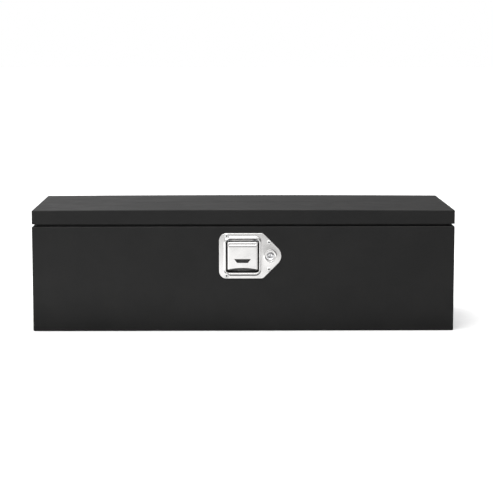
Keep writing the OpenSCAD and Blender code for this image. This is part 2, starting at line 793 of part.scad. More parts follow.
module strut_nut() translate([strut_x, base_at()[0], base_at()[1]]) difference() {
    hex_x(stud_seat + bracket_t, stud_seat + bracket_t + 4, 5.8);
    rod_x(stud_seat, stud_seat + 10, 3 + pin_clear);
}

module strut_stud_nuts() color([0.7, 0.7, 0.72]) {
    strut_nut();
    left_side() strut_nut();
}

// A hat bracket riveted to the end wall
module strut_bracket_tub() color([0.13, 0.13, 0.135]) {
    face = strut_x + stud_seat + bracket_t / 2;
    wall = inner_x - bracket_t / 2;
    z = base_at()[1];
    y = base_at()[0];
    difference() {
        along_y(y - 13, y + 13) folded(
            [[wall, z - 29], [wall, z - 13], [face, z - 13], [face, z + 13], [wall, z + 13], [wall, z + 29]],
            [2, 2, 2, 2], bracket_t
        );
        translate([face - 3, y, z]) rod_x(0, 6, 3 + pin_clear);
        for (dz = [-21, 21]) translate([wall - 3, y, z + dz]) rod_x(0, 6, rivet_r + rivet_clear);
    }
}

module strut_bracket_rivets() color([0.6, 0.6, 0.62])
    for (side = [0, 1], dz = [-21, 21]) mirror([side, 0, 0])
        translate([0, base_at()[0], base_at()[1] + dz]) {
            rod_x(inner_x - bracket_t, half_w, rivet_r);
            rod_x(inner_x - bracket_t - 1.2, inner_x - bracket_t, 3.8);
        }

// An angle bracket welded under the lid's top
module strut_bracket_lid() color([0.13, 0.13, 0.135]) {
    face = strut_x + stud_seat + bracket_t / 2;
    y = stud_at()[0];
    along_y(y - 13, y + 19) folded(
        [[face - 19, lid_in - bracket_t / 2], [face, lid_in - bracket_t / 2], [face, stud_at()[1] - 12]],
        [2], bracket_t
    );
}

// ---------- Nodes ----------

tub_wrapper();
left_side() tub_end();  // tub_end_left
tub_end();  // tub_end_right
rim_seal();
hinge_leaf(-1, 0);  // hinge_leaf_tub
hinge_pin();
hinge_rivets(tub_h - 17);  // hinge_rivets_tub
latch_gasket();
latch_bezel();
latch_rivets();
latch_housing();
paddle_pin();
paddle_springs();
hook_pin();
lock_barrel();
lock_nut();
left_side() strut_bracket_tub();  // strut_bracket_tub_left
strut_bracket_tub();  // strut_bracket_tub_right
strut_bracket_rivets();
left_side() strut_stud_tub();  // strut_stud_tub_left
strut_stud_tub();  // strut_stud_tub_right
strut_stud_nuts();
lid_shell();
lid_stiffener();
hinge_leaf(1, 1);  // hinge_leaf_lid
hinge_rivets(hinge_z + 19);  // hinge_rivets_lid
striker_bracket();
striker_loop();
striker_nuts();
left_side() strut_bracket_lid();  // strut_bracket_lid_left
strut_bracket_lid();  // strut_bracket_lid_right
latch_paddle();
latch_hook();
hook_spring();
lock_plug();
lock_cam();
cam_screw();
left_side() strut_cylinder();  // strut_cylinder_left
left_side() strut_socket_lower();  // strut_socket_lower_left
left_side() strut_rod();  // strut_rod_left
left_side() strut_piston();  // strut_piston_left
left_side() strut_socket_upper();  // strut_socket_upper_left
left_side() strut_stud_lid();  // strut_stud_lid_left
strut_cylinder();  // strut_cylinder_right
strut_socket_lower();  // strut_socket_lower_right
strut_rod();  // strut_rod_right
strut_piston();  // strut_piston_right
strut_socket_upper();  // strut_socket_upper_right
strut_stud_lid();  // strut_stud_lid_right
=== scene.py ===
"""Looks of a steel truck tool box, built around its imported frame.

Every length is in metres, in the frame of the CAD model: +Z up, +X to the right, and the front with the
latch facing -Y. Each sub-assembly is a class that takes its places from the frame's nodes.
"""

from __future__ import annotations

import functools
import json
import logging
import math
from collections.abc import Callable, Iterable, Sequence
from dataclasses import dataclass, field
from enum import Enum

import bmesh
import bpy
from mathutils import Matrix, Vector

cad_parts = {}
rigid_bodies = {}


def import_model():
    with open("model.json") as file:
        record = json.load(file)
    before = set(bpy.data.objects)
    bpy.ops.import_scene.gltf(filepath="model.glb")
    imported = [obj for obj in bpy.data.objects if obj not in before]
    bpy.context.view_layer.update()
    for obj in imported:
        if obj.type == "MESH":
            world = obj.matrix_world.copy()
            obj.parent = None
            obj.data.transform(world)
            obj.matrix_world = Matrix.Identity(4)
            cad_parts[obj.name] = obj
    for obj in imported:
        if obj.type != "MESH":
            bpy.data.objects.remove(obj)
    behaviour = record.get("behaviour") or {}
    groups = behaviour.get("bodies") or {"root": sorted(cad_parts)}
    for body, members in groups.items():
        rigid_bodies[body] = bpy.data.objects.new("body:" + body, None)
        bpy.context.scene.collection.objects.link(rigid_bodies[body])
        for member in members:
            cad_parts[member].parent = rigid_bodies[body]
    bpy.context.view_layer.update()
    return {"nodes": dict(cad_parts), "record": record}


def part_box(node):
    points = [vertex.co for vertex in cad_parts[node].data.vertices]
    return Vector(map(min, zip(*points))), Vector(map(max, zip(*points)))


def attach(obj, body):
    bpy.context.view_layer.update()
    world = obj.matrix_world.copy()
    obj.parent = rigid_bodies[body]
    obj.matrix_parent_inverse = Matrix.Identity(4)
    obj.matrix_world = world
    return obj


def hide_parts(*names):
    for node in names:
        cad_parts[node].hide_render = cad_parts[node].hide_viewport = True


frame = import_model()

log = logging.getLogger("tool_box")

MM = 0.001
SMOOTH_ANGLE = math.radians(32)
EDGE_STEPS = 2
WHOLE_TURN = 6.28
ORIGIN = Vector((0.0, 0.0, 0.0))
Point2 = tuple[float, float]
Point3 = tuple[float, float, float]
Object = bpy.types.Object
Socket = bpy.types.NodeSocket
Node = bpy.types.Node
Group = bpy.types.ShaderNodeTree


class Body(str, Enum):
    """The rigid bodies of the box."""

    TUB = "tub"
    LID = "lid"
    PADDLE = "paddle"
    HOOK = "hook"
    LOCK = "lock"


class Side(str, Enum):
    """The two ends of the box."""

    LEFT = "left"
    RIGHT = "right"


class Axis(Enum):
    """The direction that a turned piece's axis runs in."""

    X = Vector((1.0, 0.0, 0.0))
    Y = Vector((0.0, 1.0, 0.0))
    Z = Vector((0.0, 0.0, 1.0))


# ---- node trees


class Net:
    """A node tree that is written one node at a time."""

    def __init__(self, tree: bpy.types.NodeTree) -> None:
        """Starts with an empty tree.

        Args:
            tree: The shader or geometry tree to fill.
        """
        self.tree = tree
        tree.nodes.clear()

    def add(self, kind: str, inputs: dict | None = None, **settings: object) -> Node:
        """Adds a node, sets its properties and fills its inputs.

        Args:
            kind: The node's type name, without its prefix where that is "ShaderNode".
            inputs: Values or output sockets by input name or number.
            settings: Properties of the node itself.

        Returns:
            The new node.
        """
        node = self.tree.nodes.new(kind if "Node" in kind else f"ShaderNode{kind}")
        node.location = (220 * (len(self.tree.nodes) % 8), -240 * (len(self.tree.nodes) // 8))
        for name, value in settings.items():
            setattr(node, name, value)
        for name, value in (inputs or {}).items():
            self.feed(node.inputs[name], value)
        return node

    def feed(self, socket: Socket, value: object) -> None:
        """Links an output to a socket, or sets the socket's own value.

        Args:
            socket: The input to fill.
            value: An output to link, or a plain value.
        """
        if isinstance(value, Socket):
            self.tree.links.new(value, socket)
        else:
            socket.default_value = value

    def math(self, operation: str, first: object, second: object = 0.0, clamp: bool = False) -> Socket:
        """Combines two numbers and returns the result's socket."""
        node = self.add("Math", {0: first, 1: second}, operation=operation, use_clamp=clamp)
        return node.outputs[0]

    def remap(self, value: object, low: float, high: float, to_low: float = 0.0,
              to_high: float = 1.0) -> Socket:
        """Maps a number smoothly from one range to another and returns the result's socket.

        Args:
            value: The number, or the output that gives it.
            low: The start of its range.
            high: The end of its range.
            to_low: The start of the new range.
            to_high: The end of the new range.

        Returns:
            The result's output.
        """
        node = self.add(
            "MapRange",
            {"Value": value, "From Min": low, "From Max": high, "To Min": to_low, "To Max": to_high},
            interpolation_type="SMOOTHSTEP",
        )
        return node.outputs["Result"]

    def mix(self, share: object, first: object, second: object) -> Socket:
        """Mixes two colours and returns the result's socket.

        Args:
            share: How much of the second colour shows, 0 to 1.
            first: The first colour.
            second: The second colour.

        Returns:
            The result's output.
        """
        node = self.add("Mix", data_type="RGBA")
        self.feed(node.inputs[0], share)
        self.feed(node.inputs[6], first)
        self.feed(node.inputs[7], second)
        return node.outputs[2]


class Effects:
    """Shader node groups that more than one finish uses, each built once."""

    @classmethod
    @functools.cache
    def group(cls, name: str) -> Group:
        """Returns the named group, and builds it the first time."""
        return getattr(cls, f"_{name}")()

    @staticmethod
    def _open(name: str, inputs: dict[str, float], outputs: Sequence[str]) -> tuple[Net, Node, Node]:
        """Starts a group of plain numbers.

        Args:
            name: The group's name.
            inputs: Default values by input name.
            outputs: The output names.

        Returns:
            The net, its input node and its output node.
        """
        tree = bpy.data.node_groups.new(name, "ShaderNodeTree")
        for label, value in inputs.items():
            socket = tree.interface.new_socket(label, in_out="INPUT", socket_type="NodeSocketFloat")
            socket.default_value = value
        for label in outputs:
            tree.interface.new_socket(label, in_out="OUTPUT", socket_type="NodeSocketFloat")
        net = Net(tree)
        return net, net.add("NodeGroupInput"), net.add("NodeGroupOutput")

    @classmethod
    def _peel(cls) -> Group:
        """The skin of a sprayed coat: soft cells, a fine grain in them, and the sheet's long waves.

        Returns:
            The group.
        """
        net, given, out = cls._open("peel", {"Cell": 900.0, "Grain": 0.3, "Wave": 0.0}, ["Height", "Speckle"])
        place = net.add("TexCoord").outputs["Object"]
        cells = net.add(
            "TexVoronoi",
            {"Vector": place, "Scale": given.outputs["Cell"], "Smoothness": 1.0, "Randomness": 1.0},
            feature="SMOOTH_F1",
        )
        fine_scale = net.math("MULTIPLY", given.outputs["Cell"], 3.7)
        fine = net.add("TexNoise", {"Vector": place, "Scale": fine_scale, "Detail": 2.0})
        long = net.add("TexNoise", {"Vector": place, "Scale": 5.0, "Detail": 1.0})
        grain = net.math("MULTIPLY", fine.outputs[0], given.outputs["Grain"])
        wave = net.math("MULTIPLY", long.outputs[0], given.outputs["Wave"])
        skin = net.math("ADD", cells.outputs["Distance"], grain)
        net.feed(out.inputs["Height"], net.math("ADD", skin, wave))
        net.feed(out.inputs["Speckle"], fine.outputs[0])
        return net.tree

    @classmethod
    def _edges(cls) -> Group:
        """Where handling has rubbed the outer edges: the bent normal near an edge, broken up by noise.

        Returns:
            The group.
        """
        net, given, out = cls._open("edges", {"Reach": 0.0015, "Broken": 140.0}, ["Mask"])
        bent = net.add("Bevel", {"Radius": given.outputs["Reach"]}, samples=4)
        flat = net.add("NewGeometry")
        along = net.add("VectorMath", {0: bent.outputs[0], 1: flat.outputs["Normal"]},
                        operation="DOT_PRODUCT")
        place = net.add("TexCoord").outputs["Object"]
        noise = net.add("TexNoise", {"Vector": place, "Scale": given.outputs["Broken"], "Detail": 5.0})
        near = net.remap(along.outputs["Value"], 0.985, 0.86)
        patchy = net.remap(noise.outputs[0], 0.42, 0.62)
        net.feed(out.inputs["Mask"], net.math("MULTIPLY", near, patchy, clamp=True))
        return net.tree

    @classmethod
    def _dust(cls) -> Group:
        """Settled dust: on what faces up, in soft patches with a fine speckle.

        Returns:
            The group.
        """
        net, given, out = cls._open("dust", {"Amount": 0.1, "Patch": 14.0}, ["Mask"])
        coords = net.add("TexCoord")
        up = net.add("SeparateXYZ", {0: coords.outputs["Normal"]}).outputs["Z"]
        patch = net.add(
            "TexNoise",
            {"Vector": coords.outputs["Object"], "Scale": given.outputs["Patch"], "Detail": 6.0,
             "Roughness": 0.6},
        )
        speck = net.add("TexNoise", {"Vector": coords.outputs["Object"], "Scale": 1600.0, "Detail": 1.0})
        lying = net.remap(up, 0.2, 0.95, 0.25, 1.0)
        spread = net.math("MULTIPLY", net.remap(patch.outputs[0], 0.3, 0.75),
                          net.remap(speck.outputs[0], 0.35, 0.7, 0.5, 1.0))
        amount = net.math("MULTIPLY", lying, given.outputs["Amount"])
        net.feed(out.inputs["Mask"], net.math("MULTIPLY", spread, amount, clamp=True))
        return net.tree

    @classmethod
    def _handling(cls) -> Group:
        """Smears and fine scratches: a change in gloss, and a mask of thin lines.

        Returns:
            The group.
        """
        net, given, out = cls._open("handling", {"Smear": 9.0, "Scratch": 40.0}, ["Gloss", "Lines"])
        place = net.add("TexCoord").outputs["Object"]
        smear = net.add(
            "TexNoise",
            {"Vector": place, "Scale": given.outputs["Smear"], "Detail": 5.0, "Roughness": 0.6,
             "Distortion": 1.2},
        )
        turned = net.add("Mapping", {"Vector": place, "Rotation": (0.4, 0.7, 0.5), "Scale": (1.0, 7.0, 1.0)})
        lines = net.add(
            "TexVoronoi",
            {"Vector": turned.outputs[0], "Scale": given.outputs["Scratch"]},
            feature="DISTANCE_TO_EDGE",
        )
        thin = net.remap(lines.outputs["Distance"], 0.012, 0.0)
        rare = net.remap(smear.outputs[0], 0.52, 0.7)
        net.feed(out.inputs["Gloss"], smear.outputs[0])
        net.feed(out.inputs["Lines"], net.math("MULTIPLY", thin, rare, clamp=True))
        return net.tree

    @classmethod
    def _hairlines(cls) -> Group:
        """The faint parallel lines that a polishing belt leaves along X.

        Returns:
            The group.
        """
        net, given, out = cls._open("hairlines", {"Pitch": 2600.0}, ["Height"])
        place = net.add("TexCoord").outputs["Object"]
        stretched = net.add("Mapping", {"Vector": place, "Scale": (0.012, 1.0, 1.0)})
        noise = net.add(
            "TexNoise", {"Vector": stretched.outputs[0], "Scale": given.outputs["Pitch"], "Detail": 3.0}
        )
        net.feed(out.inputs["Height"], noise.outputs[0])
        return net.tree


# ---- finishes


@dataclass(frozen=True)
class Finish:
    """One surface finish. slot is its name in the record, and look its own name where that is another."""

    slot: str
    colour: Point3
    roughness: float
    look: str = ""

    @functools.cache
    def material(self) -> bpy.types.Material:
        """Returns this finish's material, and builds it the first time.

        Returns:
            The material.
        """
        made = bpy.data.materials.new(self.look or self.slot)
        made.use_nodes = True
        net = Net(made.node_tree)
        surface = self.surface(net)
        net.add("OutputMaterial", {"Surface": surface.outputs[0]})
        return made

    def surface(self, net: Net) -> Node:
        """Builds the finish's nodes and returns its shader."""
        raise NotImplementedError

    @property
    def rgba(self) -> tuple[float, float, float, float]:
        """The base colour with full opacity."""
        return (*self.colour, 1.0)

    @staticmethod
    def effect(net: Net, name: str, **values: float) -> Node:
        """Places a shared effect group with this finish's own values.

        Args:
            net: The material's net.
            name: The group's name.
            values: The group's inputs, by name in lower case.

        Returns:
            The group's node.
        """
        node = net.add("Group", node_tree=Effects.group(name))
        for label, value in values.items():
            node.inputs[label.capitalize()].default_value = value
        return node

    @staticmethod
    def bump(net: Net, height: Socket, depth: float) -> Socket:
        """Turns a height of 0 to 1 into a normal, with the full height depth metres deep."""
        node = net.add("Bump", {"Strength": 1.0, "Distance": depth, "Height": height})
        return node.outputs[0]


@dataclass(frozen=True)
class Coating(Finish):
    """Powder coat or paint on steel, with its skin, rubbed edges, dust and smears."""

    specular: float = 0.3
    cell: float = 900.0
    skin_depth: float = 0.02 * MM
    wave: float = 0.0
    wear: float = 0.5
    bare: Point3 = (0.16, 0.16, 0.17)
    dust: float = 0.06
    dust_colour: Point3 = (0.2, 0.19, 0.175)
    coat: float = 0.0

    def surface(self, net: Net) -> Node:
        """Builds the coat's nodes and returns its shader.

        Args:
            net: The material's net.

        Returns:
            The Principled shader node.
        """
        peel = self.effect(net, "peel", cell=self.cell, grain=0.3, wave=self.wave)
        worn = net.math("MULTIPLY", self.effect(net, "edges").outputs["Mask"], self.wear)
        dust = self.effect(net, "dust", amount=self.dust).outputs["Mask"]
        hands = self.effect(net, "handling")
        tone = net.remap(peel.outputs["Speckle"], 0.3, 0.7, 0.85, 1.15)
        shade = net.add("VectorMath", {0: self.rgba[:3], "Scale": tone}, operation="SCALE").outputs[0]
        colour = net.mix(worn, shade, (*self.bare, 1.0))
        colour = net.mix(dust, colour, (*self.dust_colour, 1.0))
        gloss = net.remap(hands.outputs["Gloss"], 0.3, 0.7, self.roughness - 0.035, self.roughness + 0.035)
        rough = net.math("ADD", gloss, net.math("MULTIPLY", dust, 0.5), clamp=True)
        rough = net.math("SUBTRACT", rough, net.math("MULTIPLY", hands.outputs["Lines"], 0.06), clamp=True)
        return net.add(
            "BsdfPrincipled",
            {
                "Base Color": colour,
                "Roughness": rough,
                "Specular IOR Level": self.specular,
                "Coat Weight": self.coat,
                "Coat Roughness": 0.12,
                "Normal": self.bump(net, peel.outputs["Height"], self.skin_depth),
            },
        )


@dataclass(frozen=True)
class Metal(Finish):
    """Bare or plated metal, with polishing lines, smears, scratches and brighter edges, and painted shade
    deep in a given hollow.
    """

    hairline: float = 0.0
    skin_depth: float = 0.003 * MM
    spread: float = 0.06
    edge_lift: float = 0.15
    stain: float = 0.1
    # hollow: x, y and z ranges of a recess that is darkened deeper in, as painted shade.
    hollow: tuple[Point2, Point2, Point2] | None = None

    def painted_hollow_shade(self, net: Net) -> Socket:
        """A mask of painted shade that grows with depth in the hollow.

        Args:
            net: The material's net.

        Returns:
            The mask's socket.
        """
        parts = net.add("SeparateXYZ", {0: net.add("TexCoord").outputs["Object"]})
        mask = net.remap(parts.outputs["Y"], self.hollow[1][0], self.hollow[1][0] + 4.4 * MM)
        for axis, (low, high) in zip("XYZ", self.hollow):
            off = net.math("ABSOLUTE", net.math("SUBTRACT", parts.outputs[axis], (low + high) / 2))
            reach = (high - low) / 2
            mask = net.math("MULTIPLY", mask, net.remap(off, reach + 0.3 * MM, reach))
        return mask

    def surface(self, net: Net) -> Node:
        """Builds the metal's nodes and returns its shader.

        Args:
            net: The material's net.

        Returns:
            The Principled shader node.
        """
        hands = self.effect(net, "handling", smear=22.0, scratch=120.0)
        lines = self.effect(net, "hairlines")
        grain = self.effect(net, "peel", cell=2400.0, grain=0.6, wave=0.0)
        rubbed = net.math("MULTIPLY", self.effect(net, "edges", reach=0.0006).outputs["Mask"], self.edge_lift)
        bright = (*(min(1.0, c * 1.25) for c in self.colour), 1.0)
        dull = (*(c * 0.72 for c in self.colour), 1.0)
        stained = net.math("MULTIPLY", net.remap(hands.outputs["Gloss"], 0.45, 0.75), self.stain)
        colour = net.mix(rubbed, net.mix(stained, self.rgba, dull), bright)
        rough = net.remap(hands.outputs["Gloss"], 0.3, 0.7, self.roughness - self.spread,
                          self.roughness + self.spread)
        rough = net.math("ADD", rough, net.math("MULTIPLY", hands.outputs["Lines"], 0.12), clamp=True)
        # Painted shade: deeper in the hollow the colour darkens to about a quarter, and the roughness rises.
        if self.hollow:
            hollow_shade = self.painted_hollow_shade(net)
            colour = net.mix(hollow_shade, colour, (*(c * 0.26 for c in self.colour), 1.0))
            rough = net.math("ADD", rough, net.math("MULTIPLY", hollow_shade, 0.3), clamp=True)
        ridges = net.math("MULTIPLY", lines.outputs["Height"], self.hairline)
        height = net.math("ADD", ridges, net.math("MULTIPLY", grain.outputs["Height"], 1.0 - self.hairline))
        return net.add(
            "BsdfPrincipled",
            {
                "Base Color": colour,
                "Metallic": 1.0,
                "Roughness": rough,
                "Normal": self.bump(net, height, self.skin_depth),
            },
        )


@dataclass(frozen=True)
class Polymer(Finish):
    """Rubber or moulded plastic, with a soft grain, scuffed edges and dust."""

    specular: float = 0.35
    cell: float = 1500.0
    skin_depth: float = 0.02 * MM
    bloom: float = 0.2
    bloom_colour: Point3 = (0.09, 0.09, 0.088)

    def surface(self, net: Net) -> Node:
        """Builds the polymer's nodes and returns its shader.

        Args:
            net: The material's net.

        Returns:
            The Principled shader node.
        """
        peel = self.effect(net, "peel", cell=self.cell, grain=0.8, wave=0.0)
        scuff = net.math("MULTIPLY", self.effect(net, "edges", reach=0.001).outputs["Mask"], self.bloom)
        dust = self.effect(net, "dust", amount=self.bloom, patch=30.0).outputs["Mask"]
        colour = net.mix(scuff, self.rgba, (*self.bloom_colour, 1.0))
        colour = net.mix(dust, colour, (*self.bloom_colour, 1.0))
        rough = net.remap(peel.outputs["Speckle"], 0.3, 0.7, self.roughness - 0.06, self.roughness + 0.06)
        return net.add(
            "BsdfPrincipled",
            {
                "Base Color": colour,
                "Roughness": rough,
                "Specular IOR Level": self.specular,
                "Normal": self.bump(net, peel.outputs["Height"], self.skin_depth),
            },
        )


POWDER = Coating("powder_coat", (0.0108, 0.0108, 0.0108), 0.43, specular=0.2, wave=1.5)
HINGE_COAT = Coating("hinge_leaf", (0.012, 0.012, 0.013), 0.4, specular=0.3, wear=0.8)
STRUT_PAINT = Coating(
    "strut_paint", (0.008, 0.008, 0.009), 0.25, specular=0.5, cell=1800.0, coat=0.4, wear=0.3
)
# The hollow is the latch dish's recess: painted shade darkens it deeper in.
STAINLESS = Metal("polished_stainless", (0.83, 0.82, 0.81), 0.2, hairline=0.5, spread=0.03, stain=0.04,
                  hollow=((-41.8 * MM, 36.8 * MM), (-176.4 * MM, -156.5 * MM), (138.2 * MM, 218.8 * MM)))
RIVET = Metal("rivet_steel", (0.95, 0.95, 0.94), 0.52, skin_depth=0.006 * MM)
# The mandrel ends are real steel, but their near-black colour is painted shade down in the rivets' holes.
MANDREL_SHADE = Metal(
    "rivet_steel", (0.05, 0.05, 0.052), 0.5, look="mandrel_painted_shade", skin_depth=0.01 * MM, edge_lift=0.0
)
ZINC = Metal("zinc_plate", (0.58, 0.6, 0.62), 0.34, skin_depth=0.01 * MM, stain=0.4)
SPRING = Metal("spring_wire", (0.42, 0.42, 0.43), 0.3, skin_depth=0.006 * MM, stain=0.3)
LOCK_CHROME = Metal("lock_chrome", (0.78, 0.78, 0.79), 0.12, skin_depth=0.002 * MM)
ROD_CHROME = Metal("rod_chrome", (0.72, 0.72, 0.74), 0.09, skin_depth=0.001 * MM, spread=0.03)
PISTON = Metal("piston_aluminium", (0.75, 0.75, 0.76), 0.35, hairline=0.2)
RUBBER = Polymer("seal_rubber", (0.012, 0.012, 0.012), 0.62, specular=0.3, cell=2200.0)
NYLON = Polymer("socket_plastic", (0.014, 0.014, 0.015), 0.5, bloom=0.12)


# ---- geometry


def rounded_outline(
    corners: Sequence[Point3],
    inset: float = 0.0,
    arc_steps: int = 8,
    side_steps: int = 1,
    tightest: float = 0.3 * MM,
) -> list[Point2]:
    """Walks a closed outline with rounded corners, counter-clockwise.

    Args:
        corners: (x, y, radius) of each corner.
        inset: How far inside the outline the walk is.
        arc_steps: Steps around each corner.
        side_steps: Steps along each side.
        tightest: The smallest radius that an inset corner keeps.

    Returns:
        The points, the same number of them for every inset.
    """
    count = len(corners)
    spots = [Vector(c[:2]) for c in corners]
    ways = [(spots[(i + 1) % count] - spots[i]).normalized() for i in range(count)]
    arcs = []
    for i in range(count):
        before, after = ways[i - 1], ways[i]
        inward = Vector((-before.y, before.x)) + Vector((-after.y, after.x))
        spot = spots[i] + inward * inset / (1.0 + before.dot(after))
        turn = math.atan2(before.x * after.y - before.y * after.x, before.dot(after))
        radius = max(corners[i][2] - inset, tightest)
        start = spot - before * radius * math.tan(turn / 2)
        centre = start + Vector((-before.y, before.x)) * radius
        arm = start - centre
        arcs.append([centre + Matrix.Rotation(turn * k / arc_steps, 2) @ arm for k in range(arc_steps + 1)])
    walk = []
    for i, arc in enumerate(arcs):
        onward = arcs[(i + 1) % count][0]
        walk += arc
        walk += [arc[-1].lerp(onward, k / side_steps) for k in range(1, side_steps)]
    return [(p.x, p.y) for p in walk]


def box_corners(low: Point2, high: Point2, radius: float) -> list[Point3]:
    """The four corners of a rectangle, for rounded_outline."""
    return [(low[0], low[1], radius), (high[0], low[1], radius), (high[0], high[1], radius),
            (low[0], high[1], radius)]


def mm_from(along: float, out: float, *offsets: Point2) -> list[Point2]:
    """Points given in millimetres from the base point (along, out)."""
    return [(along + a * MM, out + b * MM) for a, b in offsets]


def smooth_step(share: float) -> float:
    """Eases a share of 0 to 1 in and out."""
    share = min(1.0, max(0.0, share))
    return share * share * (3.0 - 2.0 * share)


class Draft:
    """Vertices and faces gathered for one mesh."""

    def __init__(self) -> None:
        """Starts empty."""
        self.mesh = bmesh.new()

    def ring(self, points: Iterable[Sequence[float]]) -> list[bmesh.types.BMVert]:
        """Adds a row of vertices and returns them."""
        return [self.mesh.verts.new(p) for p in points]

    def bridge(self, first: Sequence, second: Sequence, closed: bool = True) -> None:
        """Joins two rows of the same length with four-sided faces.

        Args:
            first: One row.
            second: The other row.
            closed: Whether the rows' ends are joined too.
        """
        count = len(first)
        for i in range(count if closed else count - 1):
            j = (i + 1) % count
            self.mesh.faces.new((first[i], first[j], second[j], second[i]))

    def loft(self, rows: Sequence[Sequence], closed: bool = True) -> None:
        """Joins each row to the next."""
        for first, second in zip(rows, rows[1:]):
            self.bridge(first, second, closed)

    def cap(self, row: Sequence) -> None:
        """Closes a row with one face."""
        self.mesh.faces.new(row)

    def bar(self, rows: Sequence[Sequence]) -> None:
        """Joins each row to the next and closes both ends.

        Args:
            rows: The rows, from one end to the other.
        """
        self.loft(rows)
        self.cap(rows[0])
        self.cap(rows[-1])

    def fill_between(self, *rows: Sequence) -> None:
        """Fills the flat area that the first row bounds and the others are holes in.

        Args:
            rows: The outer row, then the holes' rows.
        """
        edges = []
        for row in rows:
            for i, vert in enumerate(row):
                pair = (vert, row[(i + 1) % len(row)])
                edges.append(self.mesh.edges.get(pair) or self.mesh.edges.new(pair))
        bmesh.ops.triangle_fill(self.mesh, use_beauty=True, use_dissolve=False, edges=edges)

    def lathe(self, profile: Sequence[Point2], origin: Vector, axis: Vector, steps: int = 48) -> None:
        """Turns a profile around an axis.

        Args:
            profile: (distance along the axis, radius), from one end to the other.
            origin: The point that distances are counted from.
            axis: The axis' unit vector.
            steps: Steps around the axis.
        """
        across = axis.orthogonal().normalized()
        other = axis.cross(across)
        turns = [2 * math.pi * k / steps for k in range(steps)]
        arms = [across * math.cos(t) + other * math.sin(t) for t in turns]
        rows = []
        for along, radius in profile:
            middle = origin + axis * along
            if radius < 1e-9:
                rows.append([self.mesh.verts.new(middle)] * steps)
                continue
            rows.append(self.ring(middle + arm * radius for arm in arms))
        for first, second in zip(rows, rows[1:]):
            for i in range(steps):
                j = (i + 1) % steps
                unique = list(dict.fromkeys((first[i], first[j], second[j], second[i])))
                if len(unique) > 2:
                    self.mesh.faces.new(unique)

    def finish(self, name: str, outward: bool = True) -> Object:
        """Turns the draft into an object in the scene.

        Args:
            name: The object's name.
            outward: Whether to make the faces point out of the closed shape.

        Returns:
            The object.
        """
        bmesh.ops.remove_doubles(self.mesh, verts=self.mesh.verts, dist=1e-7)
        if outward:
            bmesh.ops.recalc_face_normals(self.mesh, faces=self.mesh.faces)
        data = bpy.data.meshes.new(name)
        self.mesh.to_mesh(data)
        self.mesh.free()
        return place(name, data)


def place(name: str, data: bpy.types.Mesh) -> Object:
    """Puts a mesh into the scene as an object at the origin.

    Args:
        name: The object's name.
        data: Its mesh.

    Returns:
        The object.
    """
    obj = bpy.data.objects.new(name, data)
    bpy.context.scene.collection.objects.link(obj)
    return obj


def bake(obj: Object) -> Object:
    """Turns an object's modifiers into a plain mesh.

    Args:
        obj: The object.

    Returns:
        The same object.
    """
    bpy.context.view_layer.update()
    shown = obj.evaluated_get(bpy.context.evaluated_depsgraph_get())
    data = bpy.data.meshes.new_from_object(shown)
    obj.modifiers.clear()
    obj.data = data
    return obj


def cut(obj: Object, *tools: Object) -> Object:
    """Takes closed tool shapes away from a closed shape, and removes the tools.

    Args:
        obj: The closed shape.
        tools: What to take away.

    Returns:
        The same object.
    """
    for tool in tools:
        change = obj.modifiers.new("cut", "BOOLEAN")
        change.operation = "DIFFERENCE"
        change.solver = "EXACT"
        change.object = tool
    bake(obj)
    for tool in tools:
        bpy.data.objects.remove(tool)
    return obj


def turned(name: str, profile: Sequence[Point2], origin: Vector, axis: Vector, steps: int = 48) -> Object:
    """A piece turned on a lathe.

    Args:
        name: The piece's name.
        profile: (distance along the axis, radius), from one end to the other.
        origin: The point that distances are counted from.
        axis: The axis' unit vector.
        steps: Steps around the axis.

    Returns:
        The piece.
    """
    draft = Draft()
    draft.lathe(profile, origin, axis, steps)
    return draft.finish(name)


def rod_profile(start: float, end: float, radius: float, edge: float) -> list[Point2]:
    """The profile of a round bar from start to end, with its ends' edges turned off."""
    return [(start, 0), (start, radius - edge), (start + edge, radius), (end - edge, radius),
            (end, radius - edge), (end, 0)]


def walled(sheet: Object, thickness: float) -> Object:
    """Gives a pressed face its thickness behind.

    Args:
        sheet: The face, open at its edge.
        thickness: The sheet's thickness.

    Returns:
        The same object.
    """
    work = bmesh.new()
    work.from_mesh(sheet.data)
    bmesh.ops.recalc_face_normals(work, faces=work.faces)
    front = min(work.faces, key=lambda face: face.calc_center_median().y)
    if front.normal.y > 0:
        bmesh.ops.reverse_faces(work, faces=work.faces)
    work.to_mesh(sheet.data)
    work.free()
    wall = sheet.modifiers.new("wall", "SOLIDIFY")
    wall.thickness = thickness
    wall.offset = -1.0
    wall.use_even_offset = True
    return bake(sheet)


def block(low: Sequence[float], high: Sequence[float]) -> Object:
    """A rectangular tool shape between two corners.

    Args:
        low: The lowest corner.
        high: The highest corner.

    Returns:
        The tool.
    """
    draft = Draft()
    made = bmesh.ops.create_cube(draft.mesh, size=1.0)
    middle = (Vector(low) + Vector(high)) / 2
    size = Vector(high) - Vector(low)
    for vert in made["verts"]:
        vert.co = Vector(a * b for a, b in zip(vert.co, size)) + middle
    return draft.finish("tool")


def prism(outline: Sequence[Point2], low: float, high: float, name: str = "tool") -> Object:
    """An outline in (x, z) drawn out along Y from low to high.

    Args:
        outline: The outline's points in (x, z).
        low: Its front's Y.
        high: Its back's Y.
        name: The object's name.

    Returns:
        The object.
    """
    draft = Draft()
    front = draft.ring((x, low, z) for x, z in outline)
    back = draft.ring((x, high, z) for x, z in outline)
    draft.bridge(front, back)
    draft.cap(front)
    draft.cap(back)
    return draft.finish(name)


def joined(name: str, *parts: Object) -> Object:
    """Makes one object of several, and removes the parts.

    Args:
        name: The new object's name.
        parts: The objects to join.

    Returns:
        The new object.
    """
    whole = bmesh.new()
    for part in parts:
        whole.from_mesh(part.data)
        bpy.data.objects.remove(part)
    data = bpy.data.meshes.new(name)
    whole.to_mesh(data)
    whole.free()
    return place(name, data)


